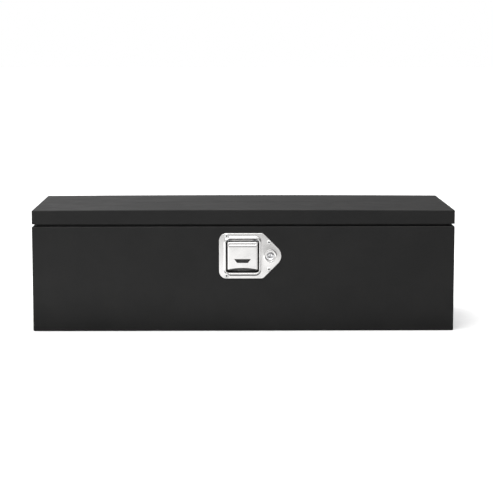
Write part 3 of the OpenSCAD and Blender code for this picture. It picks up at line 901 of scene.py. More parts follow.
def refined(node: str, flat_within: float = math.radians(0.6)) -> Object:
    """Copies a frame node's mesh with its loose triangles merged and its flat faces made whole.

    Args:
        node: The node's name.
        flat_within: The most that two faces differ in direction and are one.

    Returns:
        The copy.
    """
    work = bmesh.new()
    work.from_mesh(frame["nodes"][node].data)
    bmesh.ops.remove_doubles(work, verts=work.verts, dist=1e-6)
    bmesh.ops.dissolve_limit(work, angle_limit=flat_within, verts=work.verts, edges=work.edges)
    data = bpy.data.meshes.new(node)
    work.to_mesh(data)
    work.free()
    return place(node + "_finished", data)


def finer(node: str, pitch: float = 40 * MM) -> Object:
    """A finished copy of a long node, cut across at even steps so that it can be bent.

    Args:
        node: The node's name.
        pitch: The distance between cuts, about.

    Returns:
        The copy.
    """
    obj = refined(node)
    work = bmesh.new()
    work.from_mesh(obj.data)
    low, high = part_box(node)
    steps = max(2, round((high.x - low.x) / pitch))
    for k in range(1, steps):
        geometry = [*work.verts, *work.edges, *work.faces]
        cut_x = low.x + (high.x - low.x) * k / steps
        bmesh.ops.bisect_plane(work, geom=geometry, plane_co=(cut_x, 0, 0), plane_no=(1, 0, 0))
    work.to_mesh(obj.data)
    work.free()
    return obj


def settle(
    obj: Object, body: str, finish: Finish, nodes: Sequence[str] = (), edge: float = 0.0
) -> Object:
    """Dresses a piece and gives it its place on the box.

    Args:
        obj: The piece.
        body: The body that it moves with.
        finish: Its finish.
        nodes: The frame nodes that it stands for.
        edge: The width of its broken edges, or 0 for none.

    Returns:
        The piece.
    """
    obj.data.materials.clear()
    obj.data.materials.append(finish.material())
    obj.data.polygons.foreach_set("use_smooth", [True] * len(obj.data.polygons))
    obj.data.set_sharp_from_angle(angle=SMOOTH_ANGLE)
    if edge:
        broken = obj.modifiers.new("broken_edges", "BEVEL")
        broken.width = edge
        broken.segments = EDGE_STEPS
        broken.limit_method = "ANGLE"
        broken.angle_limit = SMOOTH_ANGLE
        broken.harden_normals = True
    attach(obj, body)
    if nodes:
        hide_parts(*nodes)
    log.info("%s rides on %s, %d faces", obj.name, body, len(obj.data.polygons))
    return obj


class Recipe:
    """A Geometry Nodes tree with named inputs, run once to make a mesh."""

    def __init__(self, name: str) -> None:
        """Starts a tree with a geometry input and output.

        Args:
            name: The tree's name.
        """
        tree = bpy.data.node_groups.new(name, "GeometryNodeTree")
        tree.interface.new_socket("Geometry", in_out="INPUT", socket_type="NodeSocketGeometry")
        tree.interface.new_socket("Geometry", in_out="OUTPUT", socket_type="NodeSocketGeometry")
        self.net = Net(tree)
        self.tree = tree
        self.given = self.net.add("NodeGroupInput")
        self.ids: dict[str, str] = {}

    def input(self, name: str, kind: str = "Float") -> Socket:
        """Adds a named input and returns the socket that gives its value.

        Args:
            name: The input's name.
            kind: Its socket type.

        Returns:
            The output that gives its value.
        """
        socket = self.tree.interface.new_socket(name, in_out="INPUT", socket_type=f"NodeSocket{kind}")
        self.ids[name] = socket.identifier
        return self.given.outputs[name]

    def close(self, geometry: Socket) -> None:
        """Realizes the instances, sets the material and ends the tree.

        Args:
            geometry: The output that gives the finished shape.
        """
        material = self.input("Material", "Material")
        real = self.net.add("GeometryNodeRealizeInstances", {"Geometry": geometry})
        dressed = self.net.add("GeometryNodeSetMaterial", {"Geometry": real.outputs[0], "Material": material})
        self.net.add("NodeGroupOutput", {"Geometry": dressed.outputs[0]})

    def run(
        self,
        name: str,
        values: dict[str, object],
        points: Iterable[Sequence[float]] = (),
        edges: Sequence[tuple[int, int]] = (),
    ) -> Object:
        """Runs the tree and returns the result as a plain mesh object.

        Args:
            name: The new object's name.
            values: The inputs' values, by name.
            points: Vertices that the tree is given.
            edges: Pairs of their numbers that are joined.

        Returns:
            The object.
        """
        data = bpy.data.meshes.new(name)
        data.from_pydata([tuple(p) for p in points], edges, [])
        obj = place(name, data)
        change = obj.modifiers.new(name, "NODES")
        change.node_group = self.tree
        for label, value in values.items():
            change[self.ids[label]] = value
        return bake(obj)


class Recipes:
    """The box's Geometry Nodes trees, each built once."""

    @classmethod
    @functools.cache
    def get(cls, name: str) -> Recipe:
        """Returns the named recipe, and builds it the first time."""
        return getattr(cls, f"_{name}")()

    @staticmethod
    def _row() -> Recipe:
        """Copies a pattern along a line, each turned a little about an axis.

        Returns:
            The recipe.
        """
        recipe = Recipe("row")
        places = {
            "Count": recipe.input("Count", "Int"),
            "Start Location": recipe.input("Start", "Vector"),
            "Offset": recipe.input("Step", "Vector"),
        }
        line = recipe.net.add("GeometryNodeMeshLine", places, mode="OFFSET")
        return Recipes._copies(recipe, line.outputs[0])

    @staticmethod
    def _scatter() -> Recipe:
        """Copies a pattern to given points, each turned a little about an axis.

        Returns:
            The recipe.
        """
        recipe = Recipe("scatter")
        return Recipes._copies(recipe, recipe.given.outputs["Geometry"])

    @staticmethod
    def _copies(recipe: Recipe, points: Socket) -> Recipe:
        """Ends a recipe that copies a pattern object to points.

        Args:
            recipe: The recipe to end.
            points: The output that gives the points.

        Returns:
            The same recipe.
        """
        net = recipe.net
        turn = recipe.input("Turn", "Vector")
        source = net.add("GeometryNodeObjectInfo", {"Object": recipe.input("Pattern", "Object")})
        share = net.add("FunctionNodeRandomValue", {"Seed": recipe.input("Seed", "Int")}, data_type="FLOAT")
        angles = net.add("VectorMath", {0: turn, "Scale": share.outputs[1]}, operation="SCALE")
        spin = net.add("FunctionNodeEulerToRotation", {0: angles.outputs[0]})
        copies = net.add(
            "GeometryNodeInstanceOnPoints",
            {"Points": points, "Instance": source.outputs["Geometry"], "Rotation": spin.outputs[0]},
        )
        recipe.close(copies.outputs[0])
        return recipe

    @staticmethod
    def _coil() -> Recipe:
        """Winds round wire into a coil, and adds a straight leg at each end.

        Returns:
            The recipe.
        """
        recipe = Recipe("coil")
        net = recipe.net
        turns = recipe.input("Turns")
        radius = recipe.input("Radius")
        length = recipe.input("Length")
        wire = recipe.input("Wire")
        leg_start = recipe.input("Leg start", "Vector")
        leg_end = recipe.input("Leg end", "Vector")
        helix = net.add(
            "GeometryNodeCurveSpiral",
            {"Resolution": 40, "Rotations": turns, "Start Radius": radius, "End Radius": radius,
             "Height": length},
        )
        first = net.add("GeometryNodeSampleCurve", {"Curves": helix.outputs[0], "Factor": 0.0}, mode="FACTOR")
        last = net.add("GeometryNodeSampleCurve", {"Curves": helix.outputs[0], "Factor": 1.0}, mode="FACTOR")
        leg_a = net.add("GeometryNodeCurvePrimitiveLine",
                        {"Start": first.outputs["Position"], "End": leg_start})
        leg_b = net.add("GeometryNodeCurvePrimitiveLine", {"Start": last.outputs["Position"], "End": leg_end})
        whole = net.add("GeometryNodeJoinGeometry")
        for part in (helix, leg_a, leg_b):
            net.tree.links.new(part.outputs[0], whole.inputs[0])
        section = net.add("GeometryNodeCurvePrimitiveCircle", {"Resolution": 12, "Radius": wire})
        tube = net.add(
            "GeometryNodeCurveToMesh",
            {"Curve": whole.outputs[0], "Profile Curve": section.outputs[0], "Fill Caps": True},
        )
        recipe.close(tube.outputs[0])
        return recipe

    @staticmethod
    def _bent_rod() -> Recipe:
        """Bends round bar along given points, with a fillet at each.

        Returns:
            The recipe.
        """
        recipe = Recipe("bent_rod")
        net = recipe.net
        radius = recipe.input("Radius")
        fillet = recipe.input("Fillet")
        path = net.add("GeometryNodeMeshToCurve", {"Mesh": recipe.given.outputs["Geometry"]})
        bent = net.add(
            "GeometryNodeFilletCurve",
            {"Curve": path.outputs[0], "Radius": fillet, "Count": 10, "Limit Radius": True},
            mode="POLY",
        )
        section = net.add("GeometryNodeCurvePrimitiveCircle", {"Resolution": 24, "Radius": radius})
        tube = net.add(
            "GeometryNodeCurveToMesh",
            {"Curve": bent.outputs[0], "Profile Curve": section.outputs[0], "Fill Caps": True},
        )
        recipe.close(tube.outputs[0])
        return recipe


def in_row(
    name: str,
    pattern: Object,
    finish: Finish,
    count: int,
    start: Sequence[float],
    step: Point3,
    turn: Point3 = (0, 0, 0),
    seed: int = 0,
) -> Object:
    """Puts copies of a pattern in a straight row.

    Args:
        name: The row's name.
        pattern: The object to copy.
        finish: The copies' finish.
        count: How many copies.
        start: The first one's place.
        step: The way from one to the next.
        turn: The most that a copy is turned about each axis.
        seed: The seed of the turns.

    Returns:
        The row as one object.
    """
    values = {
        "Count": count,
        "Start": start,
        "Step": step,
        "Pattern": pattern,
        "Turn": turn,
        "Seed": seed,
        "Material": finish.material(),
    }
    return Recipes.get("row").run(name, values)


def at_spots(
    name: str,
    pattern: Object,
    finish: Finish,
    spots: Iterable[Sequence[float]],
    turn: Point3 = (0, 0, 0),
    seed: int = 0,
) -> Object:
    """Puts a copy of a pattern at each spot, and removes the pattern.

    Args:
        name: The copies' name.
        pattern: The object to copy.
        finish: The copies' finish.
        spots: The places.
        turn: The most that a copy is turned about each axis.
        seed: The seed of the turns.

    Returns:
        The copies as one object.
    """
    values = {"Pattern": pattern, "Turn": turn, "Seed": seed, "Material": finish.material()}
    copies = Recipes.get("scatter").run(name, values, spots)
    bpy.data.objects.remove(pattern)
    return copies


# ---- places


def joint_place(name: str) -> Vector:
    """A point on a joint's axis, from the frame's record."""
    joints = frame["record"]["behaviour"]["joints"]
    return Vector(next(j["pos_m"] for j in joints if j["name"] == name))


def joint_axis(name: str) -> Vector:
    """The direction of a joint's axis, from the frame's record."""
    joints = frame["record"]["behaviour"]["joints"]
    return Vector(next(j["axis"] for j in joints if j["name"] == name)).normalized()


def plan_row(draft: Draft, low: Vector, high: Vector, inset: float, z: float, radius: float,
             steps: int) -> list:
    """Adds a level row that follows the box's plan.

    Args:
        draft: The mesh to add to.
        low: The plan's lowest corner.
        high: The plan's highest corner.
        inset: How far inside the plan the row is.
        z: The row's height.
        radius: The radius of its corners.
        steps: Steps along each side.

    Returns:
        The row's vertices.
    """
    corners = box_corners(
        (low.x + inset, low.y + inset), (high.x - inset, high.y - inset), max(radius, 0.3 * MM)
    )
    return draft.ring((x, y, z) for x, y in rounded_outline(corners, side_steps=steps))


def fold(centre: Point2, radius: float, start: float, end: float, steps: int = 5) -> list[Point2]:
    """Points around a fold, with angles in degrees."""
    angles = [math.radians(start + (end - start) * k / steps) for k in range(steps + 1)]
    return [(centre[0] + radius * math.cos(a), centre[1] + radius * math.sin(a)) for a in angles]


# ---- tub


@dataclass
class Tub:
    """The welded tub, with its rolled rim and the rubber trim on it."""

    sheet: float = 1.5 * MM
    fold: float = 3.0 * MM
    lip_in: float = 9.5 * MM
    lip_corner: float = 10.0 * MM
    crease: float = 0.4 * MM
    dish_room: float = 2.0 * MM
    lock_hole: float = 9.0 * MM
    bolt_hole: float = 4.5 * MM
    bolt_plan: Point2 = (0.8, 0.2)
    weld: float = 2.2 * MM
    weld_depth: float = 0.9 * MM
    ripples: int = 170

    def __post_init__(self) -> None:
        """Takes the tub's own box and its rim's height from the frame."""
        self.low, self.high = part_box("tub_wrapper")
        self.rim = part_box("hinge_leaf_tub")[1].z - 4.0 * MM - 2.5 * MM

    def section(self) -> list[Point3]:
        """The sheet's section from under the floor round to inside it, as (inset, height, corner radius).

        Returns:
            The section's points, from one end to the other.
        """
        t, r, lip, rim = self.sheet, self.fold, self.lip_in, self.rim
        inner = r - t
        top = self.high.z
        walls = [(i, z, max(r - i, inner)) for i, z in fold((r, r), r, 270, 180)]
        walls += [(0, r + self.crease, r), (0, rim - r - self.crease, r)]
        walls += [(i, z, max(r - i, inner)) for i, z in fold((r, rim - r), r, 180, 90)]
        lips = [(i, z, self.lip_corner) for i, z in fold((lip - inner, rim + inner), inner, 270, 360)]
        lips += [(lip, top, self.lip_corner), (lip + t, top, self.lip_corner - t)]
        lips += [(i, z, self.lip_corner - t) for i, z in fold((lip - inner, rim + inner), r, 0, -90)]
        inside = [(i, z, inner) for i, z in fold((r, rim - r), inner, 90, 180)]
        inside += [(t, rim - r - self.crease, inner), (t, r + self.crease, inner)]
        inside += [(i, z, inner) for i, z in fold((r, r), inner, 180, 270)]
        start = [(r + 40 * self.crease, 0, inner), (r + self.crease, 0, inner)]
        end = [(r + self.crease, t, inner), (r + 40 * self.crease, t, inner)]
        flat = [(r + self.crease, rim, inner)]
        return start + walls + flat + lips + inside + end

    def shell(self, latch: "Latch") -> Object:
        """Lofts the sheet and cuts its holes.

        Args:
            latch: The latch, whose dish goes through the front wall.

        Returns:
            The shell.
        """
        draft = Draft()
        rows = [plan_row(draft, self.low, self.high, i, z, r, 6) for i, z, r in self.section()]
        draft.bar(rows)
        shell = draft.finish("tub_shell")
        reach = 10 * self.sheet
        front = self.low.y
        dish = prism(latch.dish_outline(self.dish_room), front - reach, front + reach)
        tools = [dish, self.drill(latch.lock_place(), Axis.Y, self.lock_hole)]
        middle = (self.low + self.high) / 2
        for across in (-0.5, 0.5):
            for along in (-0.5, 0.5):
                spot = Vector((middle.x + across * self.bolt_plan[0], middle.y + along * self.bolt_plan[1],
                               0.0))
                tools.append(self.drill(spot, Axis.Z, self.bolt_hole))
        return cut(shell, *tools)

    def drill(self, spot: Vector, axis: Axis, radius: float) -> Object:
        """A round tool through the sheet at a spot.

        Args:
            spot: A point on the hole's axis.
            axis: The hole's direction.
            radius: The hole's radius.

        Returns:
            The tool.
        """
        reach = 10 * self.sheet
        profile = [(-reach, 0), (-reach, radius), (reach, radius), (reach, 0)]
        return turned("tool", profile, spot, axis.value, 40)

    def welds(self) -> Object:
        """The fillet welds up the four inner corners, each a row of laid-down ripples.

        Returns:
            The welds as one object.
        """
        r, shoulder = self.weld, 0.7 * self.weld
        profile = [(-0.9 * MM, 0), (-0.6 * MM, shoulder), (0, r), (0.6 * MM, shoulder), (0.9 * MM, 0)]
        pattern = turned("weld_ripple", profile, ORIGIN, Axis.Z.value, 12)
        bottom = self.fold + 4 * MM
        step = (0, 0, (self.rim - 2 * bottom) / self.ripples)
        corner = self.sheet + self.weld_depth
        runs = []
        for x in (self.low.x + corner, self.high.x - corner):
            for y in (self.low.y + corner, self.high.y - corner):
                start = (x, y, bottom)
                runs.append(in_row("weld", pattern, POWDER, self.ripples, start, step, (0.25, 0.25, 0),
                                   seed=3))
        bpy.data.objects.remove(pattern)
        return joined("tub_welds", *runs)

    def build(self, latch: "Latch") -> None:
        """Builds and dresses the tub."""
        settle(self.shell(latch), Body.TUB, POWDER, ["tub_wrapper", "tub_end_left", "tub_end_right"])
        settle(self.welds(), Body.TUB, POWDER)


@dataclass
class RimTrim:
    """The rubber edge trim that grips the rim's lip, and the hollow bulb on it that the lid shuts on."""

    lip_mid: float = 10.25 * MM
    half_slot: float = 0.85 * MM
    half_width: float = 2.95 * MM
    depth: float = 13.0 * MM
    bulb: float = 5.6 * MM
    corner: float = 20.0 * MM

    def __post_init__(self) -> None:
        """Takes the trim's heights from the frame."""
        self.low, self.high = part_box("tub_wrapper")
        self.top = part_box("rim_seal")[1].z
        self.lip_top = self.high.z

    def section(self) -> list[Point2]:
        """The closed section of the trim, as (inset, height).

        Returns:
            The section's points.
        """
        mid, slot, half, lip = self.lip_mid, self.half_slot, self.half_width, self.lip_top
        foot = lip - self.depth
        bulb_z = self.top - self.bulb
        neck = lip + 1.7 * MM
        grip = [(mid + slot, lip + 0.1 * MM), *mm_from(mid + slot, foot, (0, 1), (0.6, 0))]
        grip += fold((mid + half - 0.7 * MM, foot + 0.7 * MM), 0.7 * MM, 270, 360, 4)
        grip += [(mid + half, neck - 0.6 * MM)]
        grip += fold((mid, bulb_z), self.bulb, -52, 232, 30)
        grip += [(mid - half, neck - 0.6 * MM)]
        grip += fold((mid - half + 0.7 * MM, foot + 0.7 * MM), 0.7 * MM, 180, 270, 4)
        grip += [*mm_from(mid - slot, foot, (-0.6, 0), (0, 1)), (mid - slot, lip + 0.1 * MM)]
        return grip

    def build(self) -> None:
        """Builds and dresses the trim."""
        draft = Draft()
        rows = [plan_row(draft, self.low, self.high, i, z, self.corner - i, 8) for i, z in self.section()]
        draft.loft([*rows, rows[0]])
        settle(draft.finish("rim_trim"), Body.TUB, RUBBER, ["rim_seal"])


# ---- lid


@dataclass
class Lid:
    """The one-piece lid: its crowned top, folded skirt and closed hem, with what is welded under it."""

    sheet: float = 1.5 * MM
    fold: float = 3.0 * MM
    hem: float = 1.65 * MM
    hem_height: float = 10.0 * MM
    crown: float = 1.7 * MM
    corner: float = 3.4 * MM
    crease: float = 0.4 * MM
    rings: int = 14
    spot: float = 2.6 * MM
    spots: int = 15
    spot_margin: float = 20 * MM
    spot_inset: float = 7 * MM

    def __post_init__(self) -> None:
        """Takes the lid's box from the frame."""
        self.low, self.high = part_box("lid_shell")
        self.cap_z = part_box("striker_bracket")[0].z

    def crowned(self, obj: Object) -> Object:
        """Lifts what follows the lid's top by the top's crown, and leaves what hangs lower.

        Args:
            obj: The piece.

        Returns:
            The same piece.
        """
        half = self.high.x
        depth = self.high.z - self.sheet - self.cap_z
        for vert in obj.data.vertices:
            share = 1.0 - (vert.co.x / half) ** 2
            vert.co.z += self.crown * share * smooth_step((vert.co.z - self.cap_z) / depth)
        obj.data.update()
        return obj

    def shell(self) -> Object:
        """Lofts the lid's sheet from the middle of its top round the hem to the middle of its underside.

        Returns:
            The shell.
        """
        t, r, hem = self.sheet, self.fold, self.hem
        low, high = self.low.z, self.high.z
        inner = r - t
        slit = hem - t
        deepest = (self.high.y - self.low.y) / 2 - 2 * MM
        spread = [
            r + self.crease + (deepest - r) * (k / self.rings) ** 1.6 for k in range(self.rings, -1, -1)
        ]
        path = [(i, high) for i in spread]
        path += fold((r, high - r), r, 90, 180)
        path += [(0, high - r - self.crease), (0, low + hem + self.crease)]
        path += fold((hem, low + hem), hem, 180, 360, 8)
        path += mm_from(2 * hem, low + self.hem_height, (0, -0.3), (-0.3, 0))
        path += mm_from(hem + slit, low + self.hem_height, (0.2, 0), (0, -0.2))
        path += fold((hem, low + hem), slit, 0, -180, 4)
        path += [(t, low + self.hem_height + self.crease), (t, high - r - self.crease)]
        path += fold((r, high - r), inner, 180, 90)
        path += [(i, high - t) for i in reversed(spread)]
        draft = Draft()
        rows = []
        for inset, z in path:
            radius = max(self.corner - inset, 0.4 * MM)
            rows.append(plan_row(draft, self.low, self.high, inset, z, radius, 24))
        draft.bar(rows)
        return self.crowned(draft.finish("lid_top"))

    def spot_welds(self) -> Object:
        """The dimples that the electrodes left along the channel's flanges.

        Returns:
            The dimples as one object.
        """
        low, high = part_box("lid_stiffener")
        r = self.spot
        profile = [(0.35 * MM, 0), (0.3 * MM, 0.55 * r), (-0.15 * MM, 0.8 * r), (-0.35 * MM, 0.93 * r)]
        profile += [(-0.1 * MM, r), (0.6 * MM, 0.98 * r), (0.6 * MM, 0)]
        pattern = turned("spot_weld", profile, ORIGIN, -Axis.Z.value, 24)
        step = ((high.x - low.x - 2 * self.spot_margin) / (self.spots - 1), 0, 0)
        runs = []
        for y in (low.y + self.spot_inset, high.y - self.spot_inset):
            start = (low.x + self.spot_margin, y, high.z - 1.2 * MM)
            runs.append(in_row("spots", pattern, POWDER, self.spots, start, step, (0, 0, WHOLE_TURN), seed=5))
        bpy.data.objects.remove(pattern)
        return self.crowned(joined("channel_spot_welds", *runs))

    def build(self) -> None:
        """Builds and dresses the lid."""
        settle(self.shell(), Body.LID, POWDER, ["lid_shell"])
        settle(self.crowned(finer("lid_stiffener")), Body.LID, POWDER, ["lid_stiffener"], 0.25 * MM)
        settle(self.spot_welds(), Body.LID, POWDER)
        settle(self.crowned(finer("striker_bracket")), Body.LID, POWDER, ["striker_bracket"], 0.3 * MM)
        for side in Side:
            node = f"strut_bracket_lid_{side.value}"
            settle(self.crowned(refined(node)), Body.LID, POWDER, [node], 0.3 * MM)


@dataclass
class Striker:
    """The U-bolt under the lid that the hook catches, with its four nuts."""

    radius: float = 3.0 * MM
    bend: float = 7.0 * MM
    nut_flats: float = 5.8 * MM
    nut_height: float = 5.0 * MM
    thread_pitch: float = 1.0 * MM

    def __post_init__(self) -> None:
        """Takes the bolt's and nuts' places from the frame."""
        self.low, self.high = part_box("striker_loop")
        self.nuts_low, self.nuts_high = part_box("striker_nuts")

    def bolt(self) -> Object:
        """Bends the bolt along its three straights.

        Returns:
            The bolt.
        """
        y = (self.low.y + self.high.y) / 2
        left, right = self.low.x + self.radius, self.high.x - self.radius
        bottom = self.low.z + self.radius
        path = [(left, y, self.high.z), (left, y, bottom), (right, y, bottom), (right, y, self.high.z)]
        values = {"Radius": self.radius - 0.05 * MM, "Fillet": self.bend, "Material": ZINC.material()}
        return Recipes.get("bent_rod").run("striker_bolt", values, path, [(0, 1), (1, 2), (2, 3)])

    def threads(self) -> Object:
        """The thread's crests on the bolt's two ends.

        Returns:
            The crests as one object.
        """
        r = self.radius
        profile = [(-0.45 * MM, 0.86 * r), (-0.4 * MM, 0.94 * r), (0, 1.03 * r), (0.4 * MM, 0.94 * r)]
        profile += [(0.45 * MM, 0.86 * r), (-0.45 * MM, 0.86 * r)]
        pattern = turned("thread_crest", profile, ORIGIN, Axis.Z.value, 24)
        y = (self.low.y + self.high.y) / 2
        bottom = self.nuts_low.z - 4 * MM
        count = int((self.high.z - bottom) / self.thread_pitch)
        step = (0, 0, self.thread_pitch)
        runs = []
        for x in (self.low.x + r, self.high.x - r):
            runs.append(in_row("threads", pattern, ZINC, count, (x, y, bottom), step, (0, 0, WHOLE_TURN),
                               seed=2))
        bpy.data.objects.remove(pattern)
        return joined("striker_threads", *runs)

    def nuts(self) -> Object:
        """Four hexagon nuts, above and below the bracket's cap.

        Returns:
            The nuts as one object.
        """
        pattern = hex_nut(self.nut_flats, self.nut_height, self.radius)
        y = (self.low.y + self.high.y) / 2
        spots = []
        for x in (self.low.x + self.radius, self.high.x - self.radius):
            spots += [(x, y, self.nuts_low.z), (x, y, self.nuts_high.z - self.nut_height)]
        return at_spots("striker_hex_nuts", pattern, ZINC, spots, (0, 0, 1.0), seed=8)

    def build(self) -> None:
        """Builds and dresses the striker."""
        bolt = joined("striker_u_bolt", self.bolt(), self.threads())
        settle(bolt, Body.LID, ZINC, ["striker_loop"])
        settle(self.nuts(), Body.LID, ZINC, ["striker_nuts"], 0.15 * MM)


def hex_nut(radius: float, height: float, hole: float) -> Object:
    """A hexagon nut standing on the origin, its corners turned off and its thread's mouth countersunk.

    Args:
        radius: Across the corners, halved.
        height: The nut's height.
        hole: The thread's radius.

    Returns:
        The nut.
    """
    draft = Draft()
    flats = radius * math.cos(math.radians(30))
    rows = []
    levels = [(0.0, 0.93), (0.12, 1.0), (0.88, 1.0), (1.0, 0.93)]
    for share, size in levels:
        points = []
        for k in range(48):
            angle = 2 * math.pi * k / 48
            to_flat = flats / math.cos((angle + math.pi / 6) % (math.pi / 3) - math.pi / 6)
            reach = min(to_flat, radius * 0.985 if size == 1.0 else flats * size)
            points.append((reach * math.cos(angle), reach * math.sin(angle), share * height))
        rows.append(draft.ring(points))
    for share, size in ((1.0, 1.12), (0.9, 1.0), (0.1, 1.0), (0.0, 1.12)):
        turns = [2 * math.pi * k / 48 for k in range(48)]
        rows.append(
            draft.ring((hole * size * math.cos(a), hole * size * math.sin(a), share * height) for a in turns)
        )
    draft.loft([*rows, rows[0]])
    return draft.finish("hex_nut")


# ---- hinge


@dataclass
class ContinuousHinge:
    """The hinge along the back: two leaves with rolled knuckles, a pin, and a row of rivets in each leaf."""

    knuckles: int = 31
    gap: float = 0.4 * MM
    roll: float = 4.0 * MM
    bore: float = 2.4 * MM
    leaf: float = 1.5 * MM
    pin: float = 2.25 * MM
    rivets: int = 8
    rivet_pitch: float = 116.0 * MM
    head: float = 4.4 * MM

    def __post_init__(self) -> None:
        """Takes the hinge's axis from the frame."""
        self.axis = joint_place("lid_hinge")
        low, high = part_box("hinge_leaf_tub")
        self.length = high.x - low.x
        self.pitch = round(self.length / self.knuckles, 6)

    def curl(self, up: int) -> Object:
        """One rolled knuckle, from the leaf's edge round the pin.

        Args:
            up: 1 on the lid's leaf and -1 on the tub's.

        Returns:
            The knuckle, with its low end at the origin's X.
        """
        end = 285.0
        outer = [(-self.roll, 2.2 * self.roll)] + fold((0, 0), self.roll, 180, 180 + end, 26)
        inner = fold((0, 0), self.bore, 180 + end, 180, 26) + [(-self.roll + self.leaf, 2.2 * self.roll)]
        section = outer + inner
        width = self.pitch - self.gap
        chamfer = 0.25 * MM
        draft = Draft()
        rows = []
        for x, shrink in ((0, chamfer), (chamfer, 0), (width - chamfer, 0), (width, chamfer)):
            ring = []
            for k, (y, z) in enumerate(section):
                reach = math.hypot(y, z)
                pull = shrink if k < len(outer) else -shrink
                keep = 1.0 - pull / reach
                ring.append((x, y * keep, up * z * keep if k not in (0, len(section) - 1) else up * z))
            rows.append(draft.ring(ring))
        draft.bar(rows)
        return draft.finish("knuckle")

    def leaf_plate(self, up: int, node: str) -> Object:
        """The flat of a leaf, with its outer corners clipped.

        Args:
            up: 1 on the lid's leaf and -1 on the tub's.
            node: The leaf's frame node.

        Returns:
            The flat.
        """
        low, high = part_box(node)
        back = self.axis.y - self.roll
        near = self.axis.z + up * (self.roll + 0.6 * MM)
        far = high.z if up > 0 else low.z
        clip = 3 * MM
        inner = near - up * 0.01 * MM
        outline = [(low.x, inner), (high.x, inner), (high.x, far - up * clip), (high.x - clip, far),
                   (low.x + clip, far), (low.x, far - up * clip)]
        return prism(outline, back, back + self.leaf, "leaf")

    def leaf_piece(self, up: int, first: int, node: str) -> Object:
        """A whole leaf: its plate and its knuckles.

        Args:
            up: 1 on the lid's leaf and -1 on the tub's.
            first: The number of the leaf's first knuckle.
            node: The leaf's frame node.

        Returns:
            The leaf.
        """
        pattern = self.curl(up)
        start = Vector((-self.length / 2 + first * self.pitch + self.gap / 2, self.axis.y, self.axis.z))
        count = (self.knuckles - first + 1) // 2
        rolls = in_row("knuckles", pattern, HINGE_COAT, count, start, (2 * self.pitch, 0, 0), seed=1)
        bpy.data.objects.remove(pattern)
        return joined(f"{node}_rolled", rolls, self.leaf_plate(up, node))

    def rivet_row(self, node: str, name: str) -> Object:
        """A row of domed rivets through a leaf and the wall.

        Args:
            node: The rivets' frame node.
            name: The new object's name.

        Returns:
            The rivets as one object.
        """
        low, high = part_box(node)
        dome = self.head
        tail = low.y - self.axis.y
        face = self.leaf - self.roll
        profile = mm_from(tail, 0, (0, 0), (0.1, 3.4), (0.5, 3.8), (1.2, 3.8))
        profile += [(tail + 1.2 * MM, 2.3 * MM), (face, 2.3 * MM), (face, dome), (face + 0.35 * MM, dome)]
        profile += [
            (face + 1.75 * MM * math.sin(a), dome * math.cos(a)) for a in (0.35, 0.6, 0.85, 1.1, 1.35)
        ]
        profile += [(face + 1.75 * MM, 0)]
        pattern = turned("hinge_rivet", profile, ORIGIN, Axis.Y.value, 32)
        start = (-(self.rivets - 1) / 2 * self.rivet_pitch, self.axis.y, (low.z + high.z) / 2)
        row = in_row(name, pattern, RIVET, self.rivets, start, (self.rivet_pitch, 0, 0), seed=4)
        bpy.data.objects.remove(pattern)
        return row

    def build(self) -> None:
        """Builds and dresses the hinge."""
        settle(self.leaf_piece(-1, 0, "hinge_leaf_tub"), Body.TUB, HINGE_COAT, ["hinge_leaf_tub"])
        settle(self.leaf_piece(1, 1, "hinge_leaf_lid"), Body.LID, HINGE_COAT, ["hinge_leaf_lid"])
        low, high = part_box("hinge_pin")
        middle = Vector((0, self.axis.y, self.axis.z))
        pin = turned("hinge_pin_turned", rod_profile(low.x, high.x, self.pin, 0.5 * MM), middle, Axis.X.value,
                     32)
        settle(pin, Body.TUB, ZINC, ["hinge_pin"])
        settle(self.rivet_row("hinge_rivets_tub", "hinge_rivets_low"), Body.TUB, RIVET, ["hinge_rivets_tub"])
        settle(self.rivet_row("hinge_rivets_lid", "hinge_rivets_high"), Body.LID, RIVET, ["hinge_rivets_lid"])


# ---- latch


